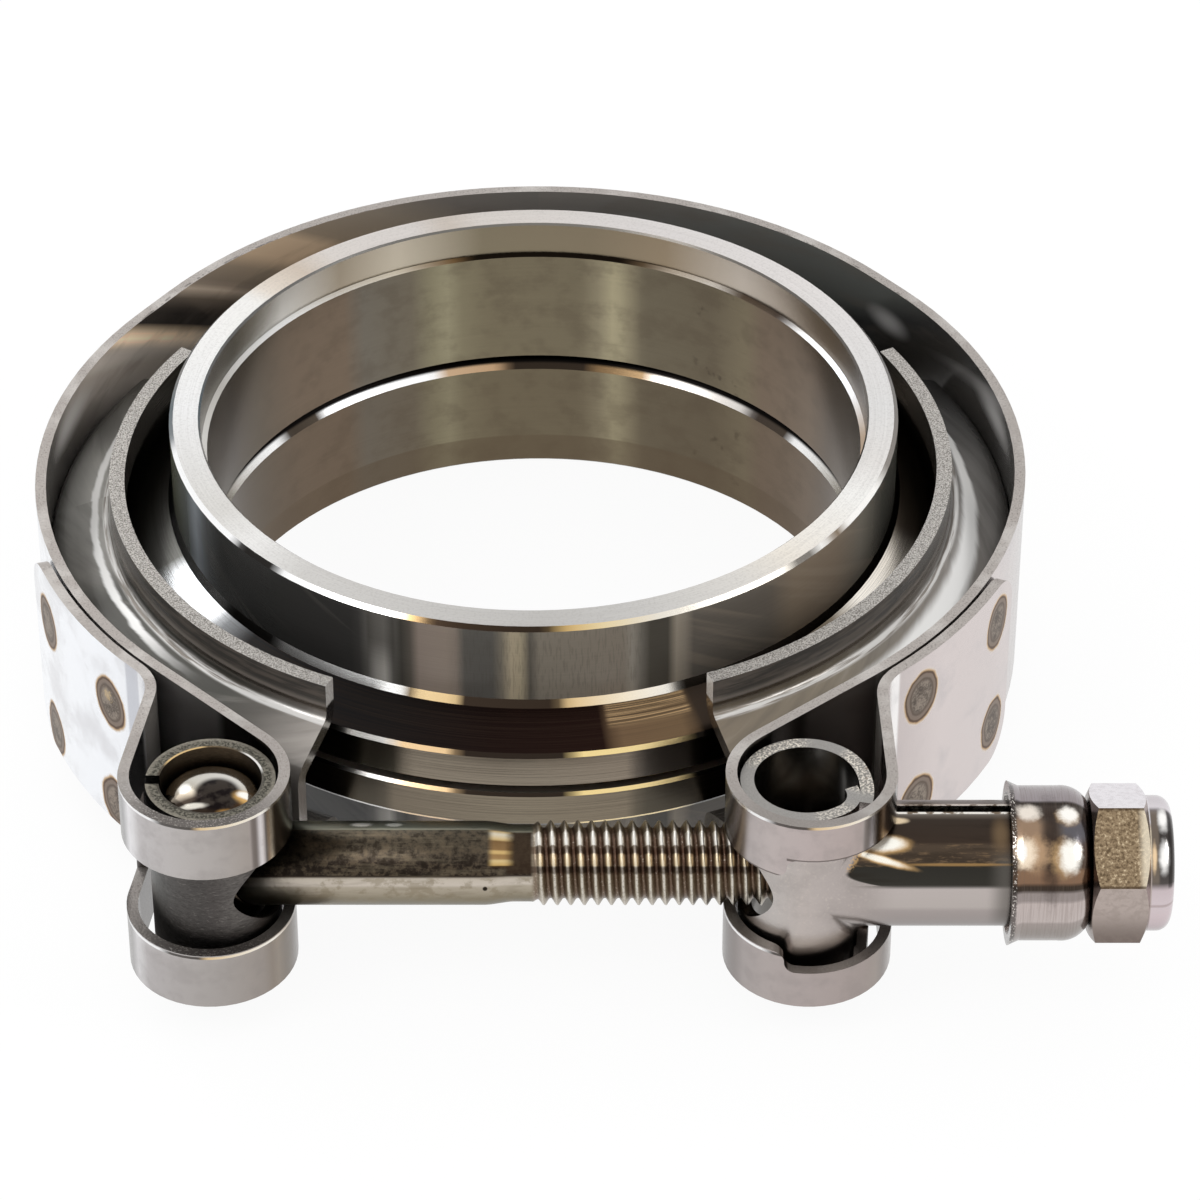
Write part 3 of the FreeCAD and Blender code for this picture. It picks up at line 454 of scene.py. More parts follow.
def strap_material():
    g = Graph("strap_strip")
    r = g.radius(g.x, g.y)
    out = (g.nx * g.x + g.ny * g.y) / r
    up = g.absolute(g.nz)
    azimuth = g.angle(g.x, g.y)
    grain = g.noise(3.0, 3.0, g.join(g.x, g.y, g.z * 5.0))
    cloud = g.noise(0.16, 4.0)
    speck = g.noise(4.5, 4.0)

    # Outside of the ring and the folded ends, painted light by direction: bright at the left and grey at the
    # back, with a painted white highlight near the right panel's bend, a grey stripe on the left panel and
    # random mottle.
    skin = g.around(azimuth, [
        (-180, 236, 238, 242), (-160, 250, 252, 255), (-140, 246, 248, 252), (-118, 200, 200, 202),
        (-60, 150, 142, 140), (-52, 190, 180, 178), (-40, 214, 204, 202), (-24, 206, 196, 194),
        (-10, 190, 186, 184), (60, 170, 168, 166), (150, 180, 180, 182),
    ])
    left_around = g.angle(g.x - LEFT_CENTRE[0], g.y - LEFT_CENTRE[1])
    right_around = g.angle(g.x - RIGHT_CENTRE[0], g.y - RIGHT_CENTRE[1])
    skin = g.mix(g.band(left_around, -137.4, -135.6, 0.5) * 0.8, skin, (190, 192, 200))
    skin = g.mix(g.band(right_around, -49.3, -47.6, 0.5) * 0.9, skin, (250, 248, 246))
    skin = g.mix(g.step(cloud, 0.45, 0.70) * 0.35, skin, (176, 172, 174))
    skin = g.mix(g.step(grain, 0.55, 0.75) * 0.15, skin, (150, 146, 146))

    # The loops, by the angle round each loop's own axis: -90 is the front. Their colour by angle is painted
    # light and reflection, with painted highlights and dark reflections in the bends, and greyer towards the
    # bottom.
    lx, rx, ly = g.x - LEFT_LOOP_X, g.x - RIGHT_LOOP_X, g.y - BOLT_Y
    left_loop = g.around(g.angle(lx, ly), [
        (-180, 90, 88, 88), (-165, 120, 118, 116), (-157, 150, 149, 150), (-148, 228, 226, 228),
        (-143, 222, 220, 221), (-136, 194, 190, 190), (-100, 182, 177, 174), (-78, 172, 166, 162),
        (-62, 164, 156, 150), (-50, 156, 147, 140), (-42, 140, 128, 116), (-36, 150, 138, 124),
        (-28, 120, 110, 98), (-10, 96, 90, 84), (60, 60, 56, 54),
    ])
    right_loop = g.around(g.angle(rx, ly), [
        (-180, 80, 76, 74), (-165, 100, 94, 92), (-150, 140, 132, 130), (-140, 176, 168, 166),
        (-120, 186, 176, 173), (-95, 184, 172, 169), (-70, 178, 165, 161), (-50, 168, 155, 150),
        (-38, 160, 148, 140), (-28, 120, 110, 104), (-10, 150, 142, 138), (20, 120, 112, 108),
        (90, 60, 56, 54),
    ])
    side_bands = g.around(g.angle(g.choose(g.x, lx, rx), ly), [
        (-180, 90, 88, 88), (-56, 170, 160, 156), (-53, 112, 103, 98), (-50, 118, 109, 105),
        (-47, 218, 212, 212), (-44.5, 196, 188, 186), (-42, 84, 76, 70), (-39, 150, 128, 104),
        (-36, 232, 220, 200), (-33, 110, 98, 88), (-20, 80, 74, 70),
    ])
    left_near, right_near = g.radius(lx, ly), g.radius(rx, ly)
    loop = g.step(g.smaller(left_near, right_near), 9.2, 8.2)
    satin_sheen = g.mix(g.step(g.x, -5.0, 5.0), left_loop, right_loop)
    in_bend = g.band(g.angle(g.choose(g.x, lx, rx), ly), -54.0, -16.0, 3.0) * g.step(g.z, 2.0, 4.0)
    satin_sheen = g.mix(in_bend, satin_sheen, side_bands)
    satin_sheen = g.mix(g.step(g.noise(0.55, 4.0), 0.42, 0.72) * 0.22, satin_sheen, (128, 122, 120))
    satin_sheen = g.mix(g.step(g.z, -4.0, -6.0) * 0.30, satin_sheen, (140, 134, 130))
    rim_highlight = g.band(g.z, 10.47, 10.74, 0.06) + g.band(g.z, -4.98, -4.74, 0.05)
    # Painted highlight line along the loops' top and bottom edges.
    glow = g.around(g.angle(g.choose(g.x, lx, rx), ly), [
        (-180, 150, 150, 150), (-152, 252, 252, 252), (-125, 250, 250, 250), (-116, 60, 56, 52),
        (-95, 52, 46, 40), (-89, 226, 196, 148), (-66, 246, 234, 212), (-40, 250, 246, 238),
        (-28, 210, 198, 184), (-15, 150, 142, 136),
    ])
    satin_sheen = g.mix(g.clamp(rim_highlight) * 0.85, satin_sheen, glow)
    window = g.choose(g.angle(rx, ly) + 108.0, g.band(g.z, 4.5, 4.72, 0.05), g.band(g.z, 6.6, 6.82, 0.05))
    satin_sheen = g.mix(window * g.step(g.x, 5.0, 8.0) * 0.75, satin_sheen, (84, 74, 70))
    # Faces turned into the loops get painted shade.
    left_in = (g.nx * lx + g.ny * ly) / left_near
    right_in = (g.nx * rx + g.ny * ly) / right_near
    turned_in = g.step(g.choose(g.x, left_in, right_in), -0.2, -0.5)
    satin_sheen = g.mix(turned_in, satin_sheen, g.mix(cloud, (36, 33, 31), (96, 90, 86)))
    skin = g.mix(loop, skin, satin_sheen)

    # Inside of the ring: painted reflections of the pieces it holds in broad streaks, a painted shadow along
    # the retainer's edge, and painted white highlight streaks and spots.
    leaning = azimuth + (g.z - 8.5) * g.choose(azimuth - 90.0, 2.2, -2.2)
    dark = g.around(leaning, [
        (-180, 44, 42, 40), (-160, 40, 38, 36), (-140, 58, 55, 52), (-60, 56, 54, 51), (-24, 48, 47, 45),
        (0, 44, 43, 42), (14, 50, 49, 48), (19, 22, 22, 22), (33, 24, 24, 24), (40, 44, 45, 43),
        (66, 50, 50, 48), (98, 60, 57, 54), (108, 76, 70, 62), (118, 80, 72, 62), (121, 112, 98, 82),
        (127, 112, 98, 82), (131, 82, 74, 64), (136, 72, 65, 58), (138, 110, 101, 91), (140, 58, 52, 46),
        (144, 26, 23, 21), (148, 26, 23, 21), (151.5, 176, 156, 132), (155, 104, 97, 90), (166, 92, 87, 82),
        (174, 60, 57, 54),
    ])
    smear = g.noise(0.5, 4.0, g.join(azimuth * 0.14 + g.z * 0.35, g.z * 0.5, 0.0))
    dark = g.mix(g.step(smear, 0.48, 0.66) * 0.35, dark, (48, 44, 40))
    dark = g.shade(dark, 4.4)
    shade_edge = azimuth - (38.0 - g.clamp((g.z - 5.0) / 5.75) * 12.0)
    shaded = g.step(shade_edge, 3.0, -5.0) * g.step(azimuth, 2.0, 14.0) * g.step(g.z, 10.9, 8.8)
    dark = g.mix(shaded * 0.8, dark, (60, 57, 53))
    streak = g.absolute(azimuth - 8.0 - (10.75 - g.z) * 4.1)
    dark = g.mix(g.step(streak, 6.0, 0.8) * g.step(g.z, 6.0, 9.5) * 0.22, dark, (236, 232, 230))
    dark = g.blob(dark, (226, 224, 222), azimuth, g.z, (37.0, 6.6), (2.6, 1.0), 0.9, 0.6)
    dark = g.blob(dark, (236, 234, 232), azimuth, g.z, (9.0, 8.3), (5.0, 1.3), 0.9, 0.7)
    dark = g.blob(dark, (236, 232, 228), azimuth, g.z, (172.0, 8.4), (5.0, 1.3), 0.9, 0.7)
    streak = g.absolute(azimuth - 163.0 + (10.75 - g.z) * 3.0)
    dark = g.mix(g.step(streak, 5.0, 0.5) * 0.35, dark, (250, 240, 230))
    sheltered = g.step(out, -0.2, -0.5) * (1.0 - loop)
    colour = g.mix(sheltered, skin, dark)

    # Spot welds: a thin tan halo, a dark ring and a smooth brown middle, with a painted golden highlight on
    # one of them.
    nearest = None
    for centre, degrees, height in WELDS:
        a = math.radians(degrees)
        wx = centre[0] + PANEL_OUTSIDE * math.cos(a)
        wy = centre[1] + PANEL_OUTSIDE * math.sin(a)
        dx, dy, dz = g.x - wx, g.y - wy, g.z - height
        away = g.math("SQRT", (dx * dx + dy * dy) * WELD_STRETCH + dz * dz)
        nearest = away if nearest is None else g.smaller(nearest, away)
    ragged = nearest + (g.noise(0.45, 3.0) - 0.5) * 0.7
    mottle = g.noise(0.7, 4.0)
    middle = g.mix(g.step(mottle * 0.5 + speck * 0.5, 0.40, 0.60), (98, 88, 80), (154, 142, 130))
    weld = g.ramp(ragged / 4.0, [
        (0.42, 122, 110, 100), (0.50, 106, 93, 83), (0.55, 138, 124, 113), (0.625, 140, 124, 112),
        (0.655, 98, 80, 68), (0.690, 110, 90, 74), (0.725, 202, 172, 136), (0.78, 226, 214, 200),
        (0.90, 232, 228, 226),
    ])
    weld = g.mix(g.step(ragged, 2.0, 1.5), weld, middle)
    # Painted golden highlight on the upper front-left weld.
    weld_glint_reach = g.radius((left_around + 141.6) * 0.83, g.z - 4.9)
    weld_glint = g.step(weld_glint_reach + (speck - 0.5) * 2.6, 0.75, 0.25) * g.step(g.x, 0.0, -5.0)
    weld = g.mix(weld_glint * 0.6, weld, (222, 196, 152))
    spot = g.step(ragged, 3.3, 2.9) * g.step(out, 0.2, 0.5)
    colour = g.mix(spot, colour, weld)

    # Sheared top and bottom edges
    shear = g.mix(g.noise(9.0, 3.0), (142, 136, 131), (204, 197, 192))
    grains = g.noise(5.5, 3.0, shift=5.0)
    shear = g.mix(g.step(grains, 0.54, 0.64) * 0.45, shear, (84, 80, 76))
    shear = g.mix(g.step(cloud, 0.50, 0.66) * 0.35, shear, (226, 223, 219))
    # Darker flecks on the loops' sheared edges, strongest at the front.
    dark_fleck = g.around(g.angle(g.choose(g.x, lx, rx), ly), [
        (-180, 0.25), (-150, 0.55), (-128, 0.85), (-60, 0.85), (-35, 0.45), (-10, 0.15), (180, 0.15),
    ])
    dark_fleck_share = loop * g.step(g.x, 4.0, -4.0) * dark_fleck + loop * g.step(g.x, -4.0, 4.0) * dark_fleck * 0.45
    shear = g.mix(dark_fleck_share * g.step(grains, 0.62, 0.54), shear, (78, 74, 71))
    dashes = g.step(g.noise(0.9, 4.0, shift=11.0), 0.50, 0.56)
    dashes = dashes * g.band(r, STRAP_OUTSIDE - 0.35, STRAP_OUTSIDE - 0.2, 0.1)
    shear = g.mix(dashes * 0.5, shear, (70, 64, 60))
    edge = g.step(up, 0.7, 0.9)
    colour = g.mix(edge, colour, shear)
    rough = g.larger(edge, spot) * 0.28 + 0.22
    dent = g.step(nearest, 2.9, 2.0) * -0.8 + g.band(nearest, 2.3, 2.6, 0.3) * 0.4
    bump = grain * 0.25 + edge * speck * 1.2 + dent * g.step(out, 0.2, 0.5) + spot * mottle * 1.5
    return g.finish(colour, rough, bump, 0.03, 1.0 - sheltered * 0.8)


def retainer_material(name, centre, stops, shine):
    g = Graph(name)
    x, y = g.x - centre[0], g.y - centre[1]
    r = g.radius(x, y)
    out = (g.nx * x + g.ny * y) / r
    up = g.absolute(g.nz)
    height = g.absolute(g.z)
    azimuth = g.angle(x, y)
    speck = g.noise(4.5, 4.0)
    coarse = g.noise(2.2, 4.0, shift=7.0)
    along = g.noise(0.8, 5.0, g.join(r * 2.4, g.z * 2.4, azimuth * 0.18))

    # The sloping flank's colour by direction is painted reflection, with painted light and dark streaks that
    # cross it slantwise, painted shade on its outer part next to the strap and a painted white highlight
    # streak near the bend.
    flank = g.around(azimuth, stops)
    slant = g.noise(0.7, 4.0, g.join(azimuth * 0.30 + r * 0.9, r * 0.25, 0.0))
    flank = g.mix(g.step(slant, 0.44, 0.64) * 0.25, flank, (50, 47, 44))
    flank = g.mix(g.step(slant, 0.44, 0.30) * 0.12, flank, (150, 146, 140))
    flank = g.mix(g.step(r, 42.6, 44.4) * 0.5, flank, (34, 32, 30))
    flank = g.shade(flank, FLANK_GAIN)
    shine_r, shine_half, shine_share = shine(g, azimuth)
    streaky = (slant - 0.5) * 0.8
    away = g.absolute(r - shine_r + streaky) / shine_half
    flank = g.mix(g.step(away, 1.25, 0.45) * shine_share, flank, (255, 254, 252))
    # The lip's outer face is a dark painted reflection, lighter towards its foot, and the bend under it
    # carries a painted highlight line.
    lip = g.mix(g.step(along, 0.4, 0.65), (66, 63, 60), (90, 83, 77))
    lip = g.mix(g.step(height, 8.9, 8.0) * 0.6, lip, (146, 138, 130))
    lip = g.shade(lip, 1.3)
    sheen = g.noise(0.9, 5.0, g.join(r * 3.0, g.z * 3.0, azimuth * 0.10), shift=2.0)
    bend = g.mix(g.step(sheen, 0.44, 0.60), (242, 240, 237), (140, 132, 124))
    colour = g.mix(g.step(height, 7.9, 7.2), lip, flank)
    line_at = g.band(r, 39.15, 39.45, 0.35) * g.step(height, 7.9, 7.3)
    colour = g.mix(line_at * 0.75, colour, bend)
    hidden = g.mix(along, (52, 48, 44), (104, 98, 92))
    colour = g.mix(g.step(out, -0.1, -0.4), colour, hidden)
    shear = g.mix(g.step(g.noise(7.0, 3.0), 0.35, 0.65), (122, 118, 113), (208, 204, 199))
    shear = g.mix(g.step(coarse, 0.60, 0.68) * 0.35, shear, (96, 91, 86))
    edge = g.step(height, 10.45, 10.55) * g.step(up, 0.7, 0.9)
    colour = g.mix(edge, colour, shear)
    cut = g.step(g.absolute(out) + up, 0.45, 0.30)
    colour = g.mix(cut, colour, g.mix(speck, (130, 124, 118), (228, 224, 220)))
    rough = edge * 0.28 + 0.22
    bump = along * 0.5 + speck * edge * 1.5
    lower_lip = g.step(height, 7.9, 8.3) * (1.0 - edge) + g.step(out, -0.1, -0.4)
    sloping = g.step(height, 7.9, 7.3) * (1.0 - cut)
    sheltered = g.clamp(lower_lip + sloping * 0.8)
    return g.finish(colour, rough, bump, 0.02, 1.0 - sheltered * 0.8)


def left_shine(g, azimuth):
    """Radius, half width and strength of the painted white highlight streak along the left flank."""
    around = g.absolute(azimuth)
    share = g.step(around, 134.0, 150.0) + g.step(azimuth, 158.0, 166.0) * g.step(azimuth, 0.0, 1.0)
    return 40.5, 0.42, g.clamp(share) * 0.8


def right_shine(g, azimuth):
    """The same for the right flank, wide at the front and thin at the back."""
    along = azimuth + 20.0
    half = g.smaller(g.larger(1.15 - along * 0.022, 0.35), 1.3)
    return 41.3 - along * 0.034, half, g.band(azimuth, -47.0, 16.0, 10.0) * 0.95


def no_shine(g, azimuth):
    """The back flank lies in shade."""
    return 40.5, 1.0, 0.0


# Flank colours by direction are painted reflections, darkest where a flank mirrors the dark inside of the
# strap.
LEFT_FLANK = [
    (-180, 124, 123, 119), (-164, 104, 102, 98), (-158, 54, 53, 49), (-130, 50, 49, 45), (-124, 72, 69, 65),
    (-114, 124, 119, 114), (0, 60, 60, 60), (150, 66, 65, 62), (162, 90, 89, 86), (170, 118, 117, 113),
]
RIGHT_FLANK = [
    (-180, 60, 60, 60), (-70, 92, 83, 71), (-50, 98, 90, 78), (-40, 96, 90, 82), (-22, 104, 99, 94),
    (-8, 108, 105, 102), (10, 88, 86, 84), (19, 70, 69, 68), (26, 40, 39, 38),
]
BACK_FLANK = [
    (-180, 60, 58, 55), (45, 30, 30, 30), (60, 66, 65, 63), (90, 54, 51, 48), (110, 84, 75, 64),
    (125, 90, 80, 68), (138, 110, 98, 84),
]


def left_trunnion_material():
    g = Graph("left_trunnion_sheet")
    x, y = g.x - HEAD_X, g.y - BOLT_Y
    r = g.radius(x, y)
    out = (g.nx * x + g.ny * y) / r
    up = g.absolute(g.nz)
    around = g.angle(x, y)
    scratch = g.noise(1.6, 5.0, g.join(x, y, g.z * 4.0), distortion=1.2)
    slant = g.noise(2.4, 4.0, g.join(x + g.z * 0.6, y, g.z * 0.2 - x * 0.4), distortion=0.8)
    # The body's colour by direction is painted light and reflection, darker towards the bottom, with painted
    # shade on its inward faces; the line round the top of the hole is a painted highlight.
    body = g.around(around, [
        (-180, 50, 50, 48), (-150, 74, 74, 71), (-130, 90, 88, 86), (-116, 86, 83, 81), (-100, 80, 77, 75),
        (-88, 82, 78, 76), (-70, 98, 94, 91), (-56, 92, 88, 85), (-44, 70, 64, 60), (-20, 46, 40, 36),
        (0, 40, 36, 32),
    ])
    body = g.mix(g.step(scratch, 0.46, 0.62) * 0.45, body, (56, 53, 51))
    body = g.mix(g.step(scratch, 0.40, 0.32) * 0.45, body, (136, 131, 126))
    body = g.mix(g.step(g.z, -5.6, -8.4) * 0.55, body, (40, 38, 36))
    inner = g.mix(scratch, (40, 33, 27), (92, 80, 66))
    body = g.mix(g.step(out, -0.1, -0.4), body, inner)
    top = g.mix(g.step(g.noise(5.0, 3.0), 0.38, 0.62), (62, 60, 54), (122, 118, 107))
    top = g.mix(g.step(r, 5.45, 5.8) * 0.5, top, (150, 144, 132))
    inner_line = g.around(around, [
        (-180, 60, 56, 50), (10, 90, 86, 80), (22, 246, 244, 240), (48, 246, 244, 240), (60, 90, 80, 66),
        (96, 110, 90, 62), (104, 228, 194, 136), (146, 228, 194, 136), (156, 80, 70, 56),
    ])
    top = g.mix(g.band(r, 4.68, 4.86, 0.1) * 0.8, top, inner_line)
    colour = g.mix(g.step(up, 0.7, 0.9), body, top)
    return g.finish(colour, 0.32, scratch + slant * 0.4, 0.03)


def right_trunnion_material():
    g = Graph("right_trunnion_sheet")
    y, z = g.y - BOLT_Y, g.z
    up = g.absolute(g.nz)
    speck = g.noise(4.0, 4.0)
    cloud = g.noise(0.30, 4.0)
    lengthwise = g.noise(0.8, 4.0, g.join(g.x * 0.15, y * 1.5, z * 1.5))

    # Barrel and junction, a satin surface whose colour by direction is painted light and reflection; it is
    # lighter near its top, browner lower down, and painted shade darkens its lower end.
    barrel_x = g.x - (RIGHT_LOOP_X - 0.55)
    satin_sheen = g.around(g.angle(barrel_x, y), [
        (-180, 70, 66, 64), (-158, 120, 114, 112), (-140, 176, 170, 166), (-118, 186, 180, 176),
        (-92, 186, 177, 172), (-60, 174, 165, 161), (-30, 160, 150, 146), (0, 120, 112, 108),
    ])
    satin_sheen = g.mix(g.step(cloud, 0.42, 0.68) * 0.35, satin_sheen, (150, 143, 139))
    satin_sheen = g.mix(g.step(speck, 0.55, 0.68) * 0.25, satin_sheen, (206, 196, 186))
    satin_sheen = g.mix(g.step(z, 4.6, 6.2) * 0.45, satin_sheen, (222, 214, 210))
    satin_sheen = g.mix(g.step(z, -3.2, -4.8) * 0.5, satin_sheen, (140, 126, 112))
    satin_sheen = g.mix(g.step(z, -4.9, -6.2) * 0.85, satin_sheen, (40, 36, 33))

    # Round the tube, as an angle from the front, upward positive. The stripes are painted reflections: a dark
    # upper band with brown streaks and a light lower side, with painted shade near the ferrule end and a
    # brown patch.
    turn = g.angle(-y, z) / 360.0 + 0.5
    stripes = g.ramp(turn, [
        (0.00, 130, 124, 120), (0.30, 96, 90, 86), (0.38, 112, 105, 101), (0.43, 150, 142, 139),
        (0.475, 164, 155, 152), (0.49, 182, 174, 169), (0.543, 184, 175, 171), (0.552, 56, 54, 49),
        (0.602, 50, 48, 44), (0.612, 72, 61, 51), (0.655, 80, 68, 57), (0.664, 60, 50, 43),
        (0.730, 58, 50, 44), (0.745, 96, 88, 80), (0.762, 146, 140, 136), (0.90, 150, 146, 142),
        (1.00, 130, 124, 120),
    ])
    upper = g.step(turn, 0.552, 0.560) * g.step(turn, 0.742, 0.730)
    stripes = g.mix(g.step(lengthwise, 0.48, 0.64) * 0.4 * upper, stripes, (42, 36, 31))
    brown_streaks = g.step(g.noise(1.0, 5.0, g.join(g.x * 0.6, y * 3.0, z * 3.0), rough=0.7, shift=6.0), 0.50, 0.64)
    stripes = g.mix(brown_streaks * g.band(turn, 0.606, 0.655, 0.008) * 0.6, stripes, (124, 102, 78))
    stripes = g.mix(g.step(g.x, 41.6, 43.6) * g.step(turn, 0.66, 0.60) * 0.7, stripes, (98, 94, 89))
    stripes = g.blob(stripes, (128, 106, 80), g.x, turn, (43.1, 0.685), (0.7, 0.04), 0.8, 0.6)

    # Soft-edged glints where the tube opens out of the barrel
    ripple = (g.noise(0.9, 3.0) - 0.5) * 0.5
    drop = turn + (g.x - 32.0) * 0.0079
    stripes = g.blob(stripes, (178, 140, 88), g.x, turn, (39.0, 0.607), (5.0, 0.0035), 0.6, 0.6)
    stripes = g.blob(stripes, (200, 162, 110), g.x, turn, (32.6, 0.658), (2.2, 0.023), 0.35, 1.0, ripple)
    stripes = g.blob(stripes, (200, 162, 110), g.x, drop, (32.3, 0.6205), (2.7, 0.0110), 0.35, 1.0, ripple)
    stripes = g.blob(stripes, (255, 252, 242), g.x, turn, (32.4, 0.660), (1.8, 0.018), 0.4, 1.0, ripple)
    stripes = g.blob(stripes, (255, 250, 236), g.x, drop, (31.9, 0.6210), (2.2, 0.0075), 0.5, 1.0, ripple)
    stripes = g.blob(stripes, (236, 214, 180), g.x, turn, (33.6, 0.727), (1.0, 0.010), 0.4, 0.9, ripple)

    # The painted dark reflection on the upper side starts along a curved edge on the junction, fringed with a
    # painted gold edge.
    edge_x = 29.0 + g.larger(turn - 0.583, 0.0) * 20.0
    under = g.larger(0.583 - turn, 0.0) * 40.0
    start = g.x - edge_x - under * under * 2.0
    tube = g.choose(turn - 0.552, g.step(g.x, 29.0, 34.0), g.step(start, -0.25, 0.25))
    fringe = g.band(start, -0.2, 0.25, 0.2) * g.step(turn, 0.583, 0.60) * g.step(speck, 0.42, 0.56)
    colour = g.mix(tube, satin_sheen, stripes)
    colour = g.mix(fringe * 0.6, colour, (206, 168, 116))

    # The barrel's inside gets painted shade, and its sheared rims carry painted glints in a few directions.
    barrel = g.radius(barrel_x, y)
    out = (g.nx * barrel_x + g.ny * y) / barrel
    hollow = g.mix(cloud, (84, 82, 80), (130, 127, 123))
    colour = g.mix(g.step(out, -0.1, -0.4) * g.step(barrel, 5.6, 5.2), colour, hollow)
    shear = g.mix(g.noise(8.0, 3.0), (124, 122, 119), (178, 175, 171))
    sparkle = g.step(g.noise(4.2, 4.0, shift=3.0), 0.46, 0.58)
    sparkling = g.near_angle(barrel_x, y, 122, 26, 16) + g.near_angle(barrel_x, y, 14, 26, 14)
    sparkling = sparkling + g.near_angle(barrel_x, y, -62, 12, 12) * 0.7
    shear = g.mix(sparkle * g.clamp(sparkling) * 0.65, shear, (250, 242, 228))
    shear = g.mix((1.0 - sparkle) * g.clamp(sparkling) * 0.35, shear, (112, 106, 98))
    edge = g.step(up, 0.9, 0.97) * g.step(g.absolute(z), 9.8, 9.88)
    colour = g.mix(edge, colour, shear)
    seam = g.band(y, 0.1, 0.34, 0.1) + g.band(y, 1.46, 1.75, 0.1)
    seam = seam * g.step(z, 4.8, 5.2) * g.step(g.x, 30.5, 31.0)
    ragged = g.mix(g.step(g.noise(1.4, 4.0, shift=2.0), 0.46, 0.60), (244, 240, 232), (120, 104, 86))
    colour = g.mix(g.clamp(seam) * 0.9, colour, ragged)
    behind = g.step(y, 1.8, 2.4) * g.step(z, 3.0, 3.6) * g.step(g.x, 31.5, 32.5)
    colour = g.mix(behind * 0.7, colour, (92, 90, 90))
    rough = edge * 0.26 + 0.24
    return g.finish(colour, rough, lengthwise * 0.6 + speck * 0.3, 0.02)


